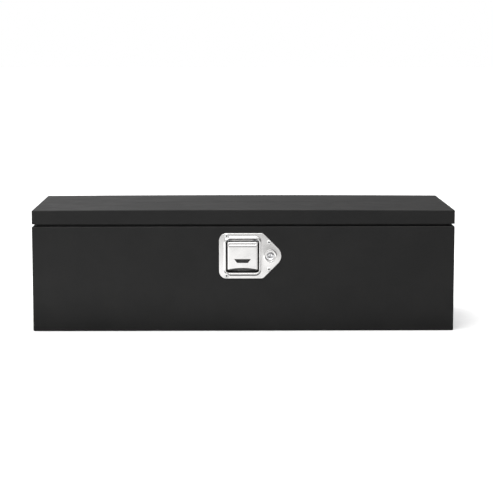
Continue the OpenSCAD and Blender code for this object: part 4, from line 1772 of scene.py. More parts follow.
@dataclass
class Latch:
    """The flush paddle latch: its plate with bead and dish, its rivets, gasket and bracket."""

    dish: Point2 = (78 * MM, 80 * MM)
    dish_radius: float = 8.5 * MM
    dish_turn: float = 4.0 * MM
    depth: float = 21.0 * MM
    sheet: float = 1.2 * MM
    face: float = -2.2 * MM
    bead: float = 2.2 * MM
    bead_spread: Point2 = (5.7 * MM, 8.5 * MM)
    bead_corner: float = 7.0 * MM
    lock_x: float = 65 * MM
    nose: float = 25.7 * MM
    half_height: float = 53.5 * MM
    left: float = -55 * MM
    corner_left: float = 17 * MM
    corner_shoulder: float = 11 * MM
    rivets: tuple[Point2, ...] = (
        (-37.5 * MM, 47 * MM), (-37.5 * MM, -47 * MM), (62 * MM, 32 * MM), (62 * MM, -32 * MM)
    )
    rivet_head: float = 5.2 * MM
    boss: Point2 = (11.5 * MM, 14.0 * MM)
    boss_rise: float = 1.0 * MM
    lip: float = 1.2 * MM
    centre: Vector = field(init=False)

    def __post_init__(self) -> None:
        """Takes the latch's place from the frame: the dish's middle, on the front wall's face."""
        lock = joint_place("lock_turn")
        self.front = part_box("tub_wrapper")[0].y
        self.centre = Vector((joint_place("paddle_pull").x, self.front, lock.z))

    def at(self, x: float, y: float, z: float) -> Vector:
        """A point in the box's frame, given about the dish's middle."""
        return self.centre + Vector((x, y, z))

    def lock_place(self) -> Vector:
        """The middle of the lock, on the front wall's face."""
        return self.at(self.lock_x, 0, 0)

    def dish_corners(self, grow: Point2 = (0.0, 0.0), rounder: float = 0.0) -> list[Point3]:
        """The dish's four corners, grown across and up.

        Args:
            grow: How far the outline is grown across and up.
            rounder: How much larger its corners' radius is.

        Returns:
            The corners as (x, z, radius).
        """
        half_w = self.dish[0] / 2 + grow[0]
        half_h = self.dish[1] / 2 + grow[1]
        return box_corners((-half_w, -half_h), (half_w, half_h), self.dish_radius + rounder)

    def dish_outline(self, extra: float) -> list[Point2]:
        """The dish's outline in the box's frame, grown by extra on every side."""
        outline = rounded_outline(self.dish_corners((extra, extra), extra), arc_steps=10)
        return [(self.centre.x + x, self.centre.z + z) for x, z in outline]

    def plate_corners(self) -> list[Point3]:
        """The plate's five corners.

        Returns:
            The corners as (x, z, radius).
        """
        tip = self.lock_x + self.nose * math.sqrt(2)
        shoulder = tip - self.half_height
        h = self.half_height
        return [
            (self.left, -h, self.corner_left),
            (shoulder, -h, self.corner_shoulder),
            (tip, 0, self.nose),
            (shoulder, h, self.corner_shoulder),
            (self.left, h, self.corner_left),
        ]

    def bead_rows(self) -> list[Point2]:
        """The bead's section: (share of its spread, depth), from its foot over its crest into the dish.

        Returns:
            The section's points.
        """
        crest = self.face - self.bead
        slope = ((0.0, 0.0), (0.1, 0.05), (0.22, 0.18), (0.4, 0.39), (0.6, 0.61), (0.78, 0.82), (0.9, 0.95),
                 (1.0, 1.0))
        foot = [(1.0, self.face)] + [(0.9 - 0.56 * t, self.face - self.bead * h) for t, h in slope]
        lip = self.lip
        spread = self.bead_spread[0]
        turns = (0.0, 0.3, 0.6, 0.9, 1.2, 1.57)
        over = [(lip * (1 - math.sin(a)) / spread, crest + lip * (1 - math.cos(a))) for a in turns]
        return foot + over

    def pressed(self, x: float, y: float, z: float) -> float:
        """The plate's depth at a point, with the bead pressed flat where a rivet's head lies.

        Args:
            x: Across, from the dish's middle.
            y: The unpressed depth.
            z: Up, from the dish's middle.

        Returns:
            The depth.
        """
        if y > self.face:
            return y
        nearest = min(math.hypot(x - rx, z - rz) for rx, rz in self.rivets)
        return self.face + (y - self.face) * smooth_step((nearest - self.rivet_head - 0.2 * MM) / (2.2 * MM))

    def plate(self) -> Object:
        """Presses the plate: its edge, the bead round the dish, the dish, and the boss round the lock.

        Returns:
            The plate.
        """
        draft = Draft()
        outline = self.plate_corners()
        edge = []
        for inset, y in ((0.0, 0.7 * MM), (0.12 * MM, 0.25 * MM), (0.5 * MM, 0.0), (0.9 * MM, 0.0)):
            walk = rounded_outline(outline, inset, arc_steps=16, side_steps=6)
            edge.append(draft.ring(self.at(x, self.face + y, z) for x, z in walk))
        draft.loft(edge)
        rows = []
        for share, y in self.bead_rows():
            grow = (self.bead_spread[0] * share, self.bead_spread[1] * share)
            corners = self.dish_corners(grow, self.bead_corner * share)
            walk = rounded_outline(corners, arc_steps=18, side_steps=26)
            rows.append(draft.ring(self.at(x, self.pressed(x, y, z), z) for x, z in walk))
        bottom = self.depth - self.sheet
        turn = self.dish_turn
        inward = [(0.0, bottom - turn - 0.5 * MM)]
        turns = (0.0, 0.35, 0.7, 1.05, 1.3, 1.57)
        inward += [(turn * (1 - math.cos(a)), bottom - turn + turn * math.sin(a)) for a in turns]
        inward += [(turn + 0.6 * MM, bottom)]
        for inset, y in inward:
            walk = rounded_outline(self.dish_corners(), inset, arc_steps=18, side_steps=26)
            rows.append(draft.ring(self.at(x, y, z) for x, z in walk))
        draft.loft(rows)
        draft.cap(rows[-1])
        boss = self.boss_rows(draft)
        draft.loft(boss)
        draft.fill_between(edge[-1], rows[0], boss[0])
        return self.windowed(walled(draft.finish("latch_plate", outward=False), self.sheet))

    def boss_rows(self, draft: Draft) -> list:
        """The ring round the lock, from its foot to the edge of the lock's hole.

        Args:
            draft: The mesh to add to.

        Returns:
            The rows, from the foot inwards.
        """
        low, high = self.boss
        rise = self.boss_rise
        section = [(high + 2.4 * MM, 0.0), (high + 1.6 * MM, 0.06 * rise), (high + 0.6 * MM, 0.5 * rise),
                   (high - 0.2 * MM, 0.93 * rise)]
        section += [(high - 0.6 * MM, rise), (low + 1.7 * MM, rise), (low + 1.3 * MM, 0.9 * rise),
                    (low + 0.3 * MM, 0.1 * rise)]
        section += [(low - 0.1 * MM, 0.0), (8.9 * MM, 0.0)]
        rows = []
        for radius, lift in section:
            turns = [2 * math.pi * k / 64 for k in range(64)]
            spots = [(self.lock_x + radius * math.cos(a), radius * math.sin(a)) for a in turns]
            rows.append(draft.ring(self.at(x, self.face - lift, z) for x, z in spots))
        return rows

    def windowed(self, plate: Object) -> Object:
        """Cuts the hook's window and the cam's slot through the dish.

        Args:
            plate: The plate.

        Returns:
            The same plate.
        """
        reach = 3 * MM
        side = self.dish[0] / 2
        window = block(
            self.at(-10 * MM, self.depth - reach, 21 * MM), self.at(10 * MM, self.depth + reach, 40.5 * MM)
        )
        slot = block(self.at(side - reach, 10.9 * MM, -22 * MM), self.at(side + reach, 13.9 * MM, 6.5 * MM))
        return cut(plate, window, slot)

    def blind_rivets(self) -> Object:
        """Four blind rivets: a domed head with the mandrel's hole, and a set tail behind the wall.

        Returns:
            The rivets as one object.
        """
        head, hole = self.rivet_head, 1.9 * MM
        face = self.face
        tail = mm_from(0, 0, (4.7, 0), (4.6, 2.2), (4, 3.4), (2.9, 3.6), (1.9, 3))
        shank = [(1.6 * MM, 2.3 * MM), (face, 2.3 * MM), (face, head - 0.1 * MM), (face - 0.3 * MM, head)]
        turns = (0.1, 0.4, 0.7, 1.0, 1.3)
        dome = [(face - 0.45 * MM - 1.0 * MM * math.sin(a),
                 head - 3.3 * MM * (1 - math.cos(a))) for a in turns]
        dome += mm_from(face, hole, (-1.45, 0.2), (-1.35, 0.05), (-1.1, 0))
        dome += [(face + 2.6 * MM, hole * 0.95), (face + 2.2 * MM, hole * 0.5), (face + 2.1 * MM, 0)]
        pattern = turned("blind_rivet", tail + shank + dome, ORIGIN, Axis.Y.value, 40)
        return self.at_rivets(pattern, RIVET, "latch_blind_rivets")

    def at_rivets(self, pattern: Object, finish: Finish, name: str) -> Object:
        """Puts a copy of a pattern at each of the four rivets."""
        return at_spots(name, pattern, finish, [self.at(x, 0, z) for x, z in self.rivets], seed=6)

    def mandrels(self) -> Object:
        """The broken ends of the mandrels, left down in the rivets' holes, coloured near black as painted
        shade in the holes.

        Returns:
            The ends as one object.
        """
        top, reach = self.face - 0.4 * MM, 1.86 * MM
        stub = [(top + 2.4 * MM, 0), (top + 2.4 * MM, reach), (top + 0.3 * MM, reach),
                (top + 0.1 * MM, 0.8 * reach)]
        stub += [(top + 0.25 * MM, 0.5 * reach), (top - 0.1 * MM, 0.25 * reach), (top, 0)]
        pattern = turned("mandrel_end", stub, ORIGIN, Axis.Y.value, 20)
        return self.at_rivets(pattern, MANDREL_SHADE, "latch_mandrel_ends")

    def build(self) -> None:
        """Builds and dresses the latch's fixed pieces."""
        settle(self.plate(), Body.TUB, STAINLESS, ["latch_bezel"])
        settle(self.blind_rivets(), Body.TUB, RIVET, ["latch_rivets"])
        # The mandrel ends' near-black finish is painted shade in the rivet holes.
        settle(self.mandrels(), Body.TUB, MANDREL_SHADE)
        settle(refined("latch_gasket"), Body.TUB, RUBBER, ["latch_gasket"], 0.2 * MM)
        settle(refined("latch_housing"), Body.TUB, ZINC, ["latch_housing"], 0.25 * MM)
        settle(refined("paddle_pin"), Body.TUB, ZINC, ["paddle_pin"], 0.3 * MM)
        settle(refined("hook_pin"), Body.TUB, ZINC, ["hook_pin"], 0.3 * MM)


@dataclass
class Paddle:
    """The paddle: a pressed plate with rolled sides, a crease, a finger slot, a barrel and a tongue."""

    latch: Latch
    half_width: float = 35.8 * MM
    top: float = 33.2 * MM
    bottom: float = -32.4 * MM
    rise: float = 4.3 * MM
    face: float = -3.2 * MM
    sheet: float = 1.5 * MM
    side_roll: float = 3.4 * MM
    top_roll: float = 2.6 * MM
    flange: float = 17 * MM
    crease_z: float = 26.9 * MM
    crease_half: float = 3.0 * MM
    crease_depth: float = 1.3 * MM
    slot_top: float = -7.3 * MM
    slot_bottom: float = -16.5 * MM
    slot_half: Point2 = (19.8 * MM, 12.6 * MM)
    pin: Point2 = (5.5 * MM, 35.5 * MM)
    barrel_half: float = 25 * MM
    tongue_half: float = 8 * MM
    tongue_tip: float = 23.5 * MM
    tongue_z: float = 38.15 * MM
    tuck: float = 1.0 * MM

    def tucked(self, z: float) -> float:
        """How far the paddle tucks in at a height, from its top edge down."""
        return self.tuck * (self.top - z) / (self.top - self.bottom)

    def flange_depth(self, z: float) -> float:
        """How far back a side flange reaches at a height.

        Args:
            z: The height.

        Returns:
            The depth, from the front wall's face.
        """
        low, high, short = self.bottom + 2 * MM, self.top - 2.5 * MM, 2 * MM
        if z < -18 * MM:
            return short + (self.flange - short) * max(0.0, (z - low) / (-18 * MM - low))
        if z > 20 * MM:
            return short + (self.flange - short) * max(0.0, (high - z) / (high - 20 * MM))
        return self.flange

    def across(self, share: float, depth: float) -> Point2:
        """The section across the paddle: a place (x, y) for a share of -1 to 1 from flange to flange.

        Args:
            share: The place from one flange's edge (-1) to the other's (1).
            depth: How far back the flanges reach.

        Returns:
            The place.
        """
        side = -1.0 if share < 0 else 1.0
        share = abs(share)
        straight = self.half_width - self.side_roll
        if share < 0.6:
            return side * straight * share / 0.6, self.face
        if share < 0.8:
            angle = (share - 0.6) / 0.2 * math.pi / 2
            out = straight + self.side_roll * math.sin(angle)
            return side * out, self.face + self.side_roll * (1 - math.cos(angle))
        start = self.face + self.side_roll
        return side * self.half_width, start + (max(depth, start) - start) * (share - 0.8) / 0.2

    def creased(self, x: float, y: float, z: float) -> float:
        """The depth at a point, with the crease pressed into the face.

        Args:
            x: Across, from the dish's middle.
            y: The depth without the crease.
            z: Up, from the dish's middle.

        Returns:
            The depth.
        """
        off = abs(z - self.crease_z) / self.crease_half
        inside = smooth_step((self.half_width - 1.5 * MM - abs(x)) / (2.5 * MM))
        press = self.crease_depth * (1 - smooth_step(off)) * inside
        return y + press if y < self.face + self.side_roll else y

    @staticmethod
    def shares() -> list[float]:
        """The places across the paddle that have vertices, closer together on its rolled sides.

        Returns:
            The places, from -1 to 1.
        """
        half = [0.6 * i / 14 for i in range(15)] + [0.6 + 0.2 * i / 8 for i in range(1, 9)]
        half += [0.8 + 0.2 * i / 4 for i in range(1, 5)]
        return sorted({side * share for side in (-1, 1) for share in half})

    def arched(self, x: float, share: float, top: float) -> float:
        """The height at a place, for a share of 0 to 1 from the arched lower edge to a level."""
        arc = self.bottom + self.rise * (1 - (x / self.half_width) ** 2)
        return arc + (top - arc) * share

    def level_row(self, draft: Draft, level: Callable[[float], float], back: float) -> list:
        """Adds one row of the face, from flange to flange.

        Args:
            draft: The mesh to add to.
            level: The row's height at each place across.
            back: How far the face is rolled back there.

        Returns:
            The row's vertices.
        """
        spots = []
        for share in self.shares():
            x, y = self.across(share, self.flange_depth(level(0.0)))
            z = level(x)
            y = self.creased(x, y, z) + self.tucked(z)
            spots.append(
                self.latch.at(x, y + back * smooth_step((0.82 - abs(share)) / 0.05) if back else y, z)
            )
        return draft.ring(spots)

    def face_sheet(self) -> Object:
        """Presses the paddle's face with its flanges and rolled top, and cuts the slot.

        Returns:
            The paddle's plate.
        """
        flat_top = self.top - self.top_roll
        fine_low, fine_high = self.crease_z - self.crease_half, self.crease_z + self.crease_half
        draft = Draft()
        rows = []
        for k in range(13):
            rows.append(self.level_row(draft, lambda x, k=k: self.arched(x, k / 12, fine_low), 0.0))
        for k in range(1, 15):
            rows.append(self.level_row(draft, lambda x, k=k: fine_low + (fine_high - fine_low) * k / 14, 0.0))
        for k in range(7):
            angle = math.pi / 2 * k / 6
            back = self.top_roll * (1 - math.cos(angle))
            rows.append(
                self.level_row(draft, lambda x, a=angle: flat_top + self.top_roll * math.sin(a), back)
            )
        draft.loft(rows, closed=False)
        return self.cut_slot(walled(draft.finish("paddle_face", outward=False), self.sheet))

    def cut_slot(self, sheet: Object) -> Object:
        """Cuts the finger slot through the face.

        Args:
            sheet: The paddle's plate.

        Returns:
            The same plate.
        """
        wide, narrow = self.slot_half
        corners = [(-narrow, self.slot_bottom, 3 * MM), (narrow, self.slot_bottom, 3 * MM),
                   (wide, self.slot_top, 0.8 * MM), (-wide, self.slot_top, 0.8 * MM)]
        centre = self.latch.centre
        outline = [(centre.x + x, centre.z + z) for x, z in rounded_outline(corners, arc_steps=8)]
        return cut(sheet, prism(outline, centre.y - 8 * MM, centre.y + 4 * MM))

    def strip(self, path: Sequence[Point2], thickness: float, half: Callable[[float], float]) -> Object:
        """Bends a strip along a path in (y, z).

        Args:
            path: The middle of the strip's thickness.
            thickness: Its thickness.
            half: Its half width for a share of 0 to 1 along the path.

        Returns:
            The strip.
        """
        draft = Draft()
        rows = []
        for k, (y, z) in enumerate(path):
            before, after = path[max(k - 1, 0)], path[min(k + 1, len(path) - 1)]
            way = Vector((after[0] - before[0], after[1] - before[1])).normalized()
            off = Vector((-way.y, way.x)) * thickness / 2
            w = half(k / (len(path) - 1))
            spots = [(-w, y + off.x, z + off.y), (w, y + off.x, z + off.y), (w, y - off.x, z - off.y),
                     (-w, y - off.x, z - off.y)]
            rows.append(draft.ring(self.latch.at(*s) for s in spots))
        draft.bar(rows)
        return draft.finish("strip")

    def barrel(self) -> Object:
        """The roll round the pin, from the paddle's top.

        Returns:
            The roll.
        """
        path = [(self.face + self.top_roll, self.top - self.sheet / 2), (1.5 * MM, 32.5 * MM)]
        path += fold(self.pin, 2.8 * MM, -95, 190, 22)
        return self.strip(path, 1.3 * MM, lambda share: self.barrel_half)

    def tongue(self) -> Object:
        """The tongue behind the barrel that pushes the hook's foot.

        Returns:
            The tongue.
        """
        path = [(self.pin[0] - 1 * MM, self.tongue_z), (12 * MM, self.tongue_z), (18 * MM, self.tongue_z)]
        path += mm_from(self.tongue_tip, self.tongue_z, (-1.5, 0), (0, -0.1))
        return self.strip(path, self.sheet, lambda share: self.tongue_half * (1 if share < 0.9 else 0.9))

    def tab(self) -> Object:
        """The tab bent in from the slot's top edge.

        Returns:
            The tab.
        """
        start = self.face + self.sheet / 2 + self.tucked(self.slot_top)
        turn = 1.0 * MM
        level = self.slot_top + 0.7 * MM
        path = [(start, level + turn + 0.6 * MM)]
        turns = (0.0, 0.4, 0.8, 1.2, 1.57)
        path += [(start + turn * (1 - math.cos(a)), level + turn * (1 - math.sin(a))) for a in turns]
        path += mm_from(start, level, (5, 0.2), (9.5, 0.6))
        return self.strip(path, 1.2 * MM, lambda share: self.slot_half[0] - (1.2 + 4.6 * share) * MM)

    def build(self) -> None:
        """Builds and dresses the paddle and its two springs."""
        plate = settle(self.face_sheet(), Body.PADDLE, STAINLESS, ["latch_paddle"], 0.3 * MM)
        for piece, name in ((self.barrel(), "paddle_barrel"), (self.tongue(), "paddle_tongue"),
                            (self.tab(), "paddle_tab")):
            piece.name = name
            settle(piece, Body.PADDLE, STAINLESS, edge=0.2 * MM)
        log.info("the paddle's face has %d vertices", len(plate.data.vertices))
        settle(self.springs(), Body.TUB, SPRING, ["paddle_springs"])

    def springs(self) -> Object:
        """The two return springs on the paddle's pin.

        Returns:
            The springs as one object.
        """
        coils = []
        for side in (-1, 1):
            coil = torsion_spring(
                self.latch.at(0, *self.pin),
                side,
                radius=3.1 * MM,
                start=26.2 * MM,
                pitch=1.35 * MM,
                turns=4.3125,
                angle=45.0,
                legs=(15.8 * MM, 9 * MM),
                wire=0.6 * MM,
            )
            coils.append(coil)
        return joined("paddle_return_springs", *coils)


def torsion_spring(
    centre: Vector,
    side: int,
    radius: float,
    start: float,
    pitch: float,
    turns: float,
    angle: float,
    legs: Point2,
    wire: float,
) -> Object:
    """Winds a torsion spring about an axis along X.

    Args:
        centre: A point on the axis.
        side: 1, or -1 for the mirrored spring.
        radius: The coil's radius to the middle of its wire.
        start: How far along X from the centre the coil starts.
        pitch: The distance between turns.
        turns: The number of turns.
        angle: Where the coil starts, in degrees from +Y towards +Z.
        legs: The lengths of the straight legs at the start and the end.
        wire: The wire's radius.

    Returns:
        The spring.
    """
    first = math.radians(angle)
    last = first + 2 * math.pi * turns
    end_x = pitch * turns
    begin = Vector((radius * math.cos(first), radius * math.sin(first), 0.0))
    finish = Vector((radius * math.cos(last), radius * math.sin(last), end_x))
    leg_a = begin - Vector((-math.sin(first), math.cos(first), 0.0)) * legs[0]
    leg_b = finish + Vector((-math.sin(last), math.cos(last), 0.0)) * legs[1]
    unturn = Matrix.Rotation(-first, 4, "Z")
    values = {"Turns": turns, "Radius": radius, "Length": end_x, "Wire": wire, "Leg start": unturn @ leg_a,
              "Leg end": unturn @ leg_b, "Material": SPRING.material()}
    coil = Recipes.get("coil").run("coil", values)
    to_frame = Matrix(((0, 0, side, 0), (1, 0, 0, 0), (0, 1, 0, 0), (0, 0, 0, 1)))
    coil.data.transform(
        Matrix.Translation(centre + Vector((side * start, 0, 0))) @ to_frame @ unturn.inverted()
    )
    if side < 0:
        coil.data.flip_normals()
    return coil


@dataclass
class HookGear:
    """The hook that catches the striker, with its spring."""

    latch: Latch
    pivot: Point2 = (44 * MM, 24 * MM)

    def build(self) -> None:
        """Builds and dresses the hook and its spring."""
        settle(refined("latch_hook"), Body.HOOK, ZINC, ["latch_hook"], 0.35 * MM)
        spring = torsion_spring(
            self.latch.at(0, *self.pivot),
            1,
            radius=4.4 * MM,
            start=3.6 * MM,
            pitch=1.7 * MM,
            turns=4.625,
            angle=234.0,
            legs=(19 * MM, 20 * MM),
            wire=0.75 * MM,
        )
        spring.name = "hook_return_spring"
        settle(spring, Body.HOOK, SPRING, ["hook_spring"])


@dataclass
class KeyLock:
    """The lock: its barrel, the plug with its keyway, the cam and what holds them."""

    latch: Latch
    head: float = 9.4 * MM
    head_height: float = 2.2 * MM
    body: float = 8.7 * MM
    body_end: float = 11 * MM
    plug: float = 6.0 * MM
    keyway: Point2 = (0.9 * MM, 4.4 * MM)

    def build(self) -> None:
        """Builds and dresses the lock."""
        place_at = self.latch.lock_place()
        face = self.latch.face
        front = face - self.head_height
        h, p = self.head, self.plug
        ring = mm_from(front, p, (1.6, 0.05), (1.1, 0.15), (0.2, 1.3))
        ring += [(front, p + 1.6 * MM), *mm_from(front, h, (0, -0.9), (0.25, -0.4))]
        ring += [*mm_from(front, h, (0.8, -0.1), (1.4, 0)), (face - 0.1 * MM, h), (face, h - 0.1 * MM)]
        threads = []
        y = face
        while y < self.body_end - 1.6 * MM:
            threads += mm_from(y, self.body, (0, -0.45), (0.5, 0))
            y += 1.0 * MM
        ring += threads + mm_from(self.body_end, self.body, (-0.5, -0.3), (0, -0.8))
        ring += [(self.body_end, p + 0.05 * MM), (front + 1.6 * MM, p + 0.05 * MM)]
        barrel = turned("lock_barrel_turned", ring, place_at, Axis.Y.value, 64)
        settle(barrel, Body.TUB, LOCK_CHROME, ["lock_barrel"])
        settle(self.plug_piece(place_at, front), Body.LOCK, LOCK_CHROME, ["lock_plug"], 0.12 * MM)
        settle(self.shutter(place_at, front), Body.LOCK, SPRING)
        settle(refined("lock_cam"), Body.LOCK, ZINC, ["lock_cam"], 0.25 * MM)
        settle(self.screw(place_at), Body.LOCK, ZINC, ["cam_screw"], 0.12 * MM)
        settle(self.nut(place_at), Body.TUB, ZINC, ["lock_nut"], 0.2 * MM)

    def plug_piece(self, spot: Vector, front: float) -> Object:
        """The plug: a dished face in a fine rim, cut by the keyway.

        Args:
            spot: The lock's middle on the wall's face.
            front: The depth of the lock's front.

        Returns:
            The plug.
        """
        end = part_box("lock_plug")[1].y - self.latch.front
        p = self.plug - 0.05 * MM
        top = front + 0.8 * MM
        profile = [(top + 0.25 * MM, 0), *mm_from(top, p, (0.25, -1.3), (0.05, -0.9))]
        profile += [*mm_from(top, p, (0, -0.7), (0.1, -0.25), (0.4, 0)), (end - 2.2 * MM, p)]
        profile += [(end - 2.0 * MM, p - 0.2 * MM), (end - 2.0 * MM, 3 * MM), (end, 3 * MM), (end, 0)]
        plug = turned("lock_plug_turned", profile, spot, Axis.Y.value, 64)
        half_w, half_h = self.keyway
        corners = box_corners((-half_w, -half_h), (half_w, half_h), half_w * 0.9)
        outline = [(spot.x + x, spot.z + z) for x, z in rounded_outline(corners, arc_steps=5)]
        return cut(plug, prism(outline, spot.y + top - 2 * MM, spot.y + top + 7 * MM))

    def shutter(self, spot: Vector, front: float) -> Object:
        """The sprung shutter that closes the keyway behind the plug's face.

        Args:
            spot: The lock's middle on the wall's face.
            front: The depth of the lock's front.

        Returns:
            The shutter.
        """
        half_w, half_h = self.keyway
        corners = box_corners((-half_w * 0.92, -half_h * 0.96), (half_w * 0.92, half_h * 0.96), half_w * 0.7)
        outline = [(spot.x + x, spot.z + z) for x, z in rounded_outline(corners, arc_steps=4)]
        return prism(outline, spot.y + front + 2.2 * MM, spot.y + front + 2.8 * MM, "lock_shutter")

    def screw(self, spot: Vector) -> Object:
        """The cam's pan-head screw with its cross recess.

        Args:
            spot: The lock's middle on the wall's face.

        Returns:
            The screw.
        """
        low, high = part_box("cam_screw")
        start, end = low.y - self.latch.front, high.y - self.latch.front
        r = (high.x - low.x) / 2
        profile = [(start, 0), (start, 1.6 * MM), (end - 2.2 * MM, 1.6 * MM), (end - 2.2 * MM, r),
                   (end - 1.3 * MM, r)]
        profile += [(end - 0.7 * MM, 0.93 * r), (end - 0.25 * MM, 0.75 * r), (end - 0.05 * MM, 0.45 * r),
                    (end, 0)]
        screw = turned("cam_pan_screw", profile, spot, Axis.Y.value, 32)
        arm, half = 2.2 * MM, 0.45 * MM
        deep, out = spot.y + end - 1.4 * MM, spot.y + end + 2 * MM
        slots = [block((spot.x - a, deep, spot.z - b), (spot.x + a, out, spot.z + b)) for a,
                 b in ((arm, half), (half, arm))]
        return cut(screw, *slots)

    def nut(self, spot: Vector) -> Object:
        """The thin nut behind the wall.

        Args:
            spot: The lock's middle on the wall's face.

        Returns:
            The nut.
        """
        low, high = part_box("lock_nut")
        nut = hex_nut((high.z - low.z) / 2 / math.cos(math.radians(30)), high.y - low.y, self.body)
        nut.name = "lock_ring_nut"
        turn = Matrix.Rotation(math.radians(-90), 4, "X")
        nut.data.transform(Matrix.Translation((spot.x, low.y, spot.z)) @ turn)
        return nut


# ---- struts


@dataclass
class GasStrut:
    """A gas strut on its two ball studs, with the bracket on the tub."""

    side: Side
    tube: float = 7.5 * MM
    rod: float = 4.0 * MM
    ball: float = 4.0 * MM
    cup: float = 7.0 * MM
    neck: float = 4.6 * MM
    tube_start: float = 16 * MM
    tube_short: float = 27 * MM
    rod_start: float = 34 * MM

    def __post_init__(self) -> None:
        """Takes the strut's line from the frame's joints."""
        name = self.side.value
        self.foot = joint_place(f"{name}_strut_swing")
        self.line = joint_axis(f"{name}_strut_slide")
        low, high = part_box(f"strut_stud_lid_{name}")
        head = (low + high) / 2
        self.length = (Vector((self.foot.x, head.y, head.z)) - self.foot).length
        self.out = Vector((-1.0 if self.side is Side.LEFT else 1.0, 0.0, 0.0))

    def named(self, label: str) -> str:
        """A piece's name with the strut's side."""
        return f"{label}_{self.side.value}"

    def node(self, label: str) -> str:
        """A frame node's name with the strut's side."""
        return f"strut_{label}_{self.side.value}"

    def cylinder(self) -> Object:
        """The tube: rounded at its foot, grooved and rolled over at its head.

        Returns:
            The tube.
        """
        start, end, r = self.tube_start, self.length - self.tube_short, self.tube
        base = [(start, 0), (start, r - 2.6 * MM)]
        turns = (0.4, 0.8, 1.2, 1.57)
        base += [(start + 2 * MM * (1 - math.cos(a)), r - 2.6 * MM + 2.6 * MM * math.sin(a)) for a in turns]
        groove = mm_from(end, r, (-9.5, 0), (-9, -0.25), (-8.4, -0.6))
        groove += mm_from(end, r, (-7.8, -0.25), (-7.3, 0))
        head = mm_from(end, r, (-1.6, 0), (-0.9, -0.3), (-0.35, -1), (0, -2))
        bore = mm_from(end, self.rod, (0, 1.1), (-0.4, 0.15), (-6, 0.15))
        bore += [(end - 6 * MM, 0)]
        return turned(self.named("strut_tube"), base + groove + head + bore, self.foot, self.line)

    def rod_piece(self) -> Object:
        """The chromed rod."""
        profile = rod_profile(self.rod_start, self.length - self.tube_start, self.rod, 0.4 * MM)
        return turned(self.named("strut_polished_rod"), profile, self.foot, self.line)

    def socket(self, at: Vector, way: Vector, label: str) -> Object:
        """A moulded socket: a ribbed neck, and a cup across it that snaps over the ball.

        Args:
            at: The ball's middle.
            way: The direction from the ball to the strut.
            label: The piece's name without its side.

        Returns:
            The socket.
        """
        n = self.neck
        draft = Draft()
        profile = [(3 * MM, 0), *mm_from(0, n, (3, 0), (9, 0), (9.4, -0.6), (10.2, -0.6))]
        profile += mm_from(0, n, (10.6, 0), (11.8, 0), (12.2, -0.6), (13, -0.6))
        profile += [(13.4 * MM, n), *mm_from(self.tube_start, n, (-0.4, 0), (0, -0.4)), (self.tube_start, 0)]
        draft.lathe(profile, at, way, 32)
        c, b = self.cup, self.ball + 0.15 * MM
        cup = [(-5.5 * MM, 0), *mm_from(0, c, (-5.5, -1.4), (-5.1, -0.5), (-4.2, 0), (-1, 0))]
        cup += mm_from(0, c, (-0.8, -0.5), (0.8, -0.5), (1, 0), (3.8, 0), (4.6, -0.4))
        cup += [(5.0 * MM, c - 1.1 * MM), *mm_from(0, 0, (5, 4.3), (4, 3.6), (2, 3.6))]
        cup += [(b * math.sin(a), b * math.cos(a)) for a in (0.3, 0.0, -0.4, -0.8, -1.2)] + [(-b, 0)]
        draft.lathe(cup, at, self.out, 40)
        return draft.finish(self.named(label))

    def clip(self, at: Vector, label: str) -> Object:
        """The wire clip in the cup's groove.

        Args:
            at: The ball's middle.
            label: The piece's name without its side.

        Returns:
            The clip.
        """
        wire, middle = 0.55 * MM, self.cup - 0.35 * MM
        turns = [2 * math.pi * k / 12 for k in range(13)]
        ring = [(wire * math.sin(a), middle + wire * math.cos(a)) for a in turns]
        return turned(self.named(label), ring, at, self.out, 40)

    def stud(self, at: Vector, shank: float, label: str) -> Object:
        """A ball stud: the ball, its neck and its hexagon flange.

        Args:
            at: The ball's middle.
            shank: How far the threaded shank reaches past the flange.
            label: The piece's name without its side.

        Returns:
            The stud.
        """
        b = self.ball
        draft = Draft()
        ball = [
            (-b * math.cos(a), b * math.sin(a)) for a in (0, 0.25, 0.5, 0.8, 1.1, 1.4, 1.7, 2.0, 2.25, 2.5)
        ]
        neck = mm_from(0, 0, (4.3, 2.3), (5.6, 2.4), (6, 2.4), (6, 0))
        draft.lathe(ball + neck, at, self.out, 40)
        if shank > 1 * MM:
            y = 7.9 * MM
            thread = [(y, 0)]
            while y < 8 * MM + shank - 0.5 * MM:
                thread += [(y, 2.6 * MM), (y + 0.5 * MM, 3.0 * MM)]
                y += 1.0 * MM
            thread += [(8 * MM + shank - 0.4 * MM, 2.7 * MM), (8 * MM + shank, 2.3 * MM), (8 * MM + shank, 0)]
            draft.lathe(thread, at, self.out, 32)
        body = draft.finish("stud_body")
        flange = hex_nut(5.2 * MM, 2.0 * MM - (0.3 * MM if shank < 1 * MM else 0), 2.0 * MM)
        turn = self.out.to_track_quat("Z", "Y").to_matrix().to_4x4()
        flange.data.transform(Matrix.Translation(at + self.out * 6.0 * MM) @ turn)
        return joined(self.named(label), body, flange)

    def piston(self) -> Object:
        """The grooved piston on the rod's end, inside the tube.

        Returns:
            The piston.
        """
        low = self.tube_start + 8 * MM
        r = self.tube - 1.3 * MM
        profile = [(0, 0), *mm_from(0, r, (0, -0.4), (0.4, 0), (3, 0), (3.2, -1), (5.8, -1))]
        profile += [(6 * MM, r), (9.6 * MM, r), (10 * MM, r - 0.4 * MM), (10 * MM, 0)]
        shifted = [(low + along, radius) for along, radius in profile]
        return turned(self.named("strut_grooved_piston"), shifted, self.foot, self.line, 32)

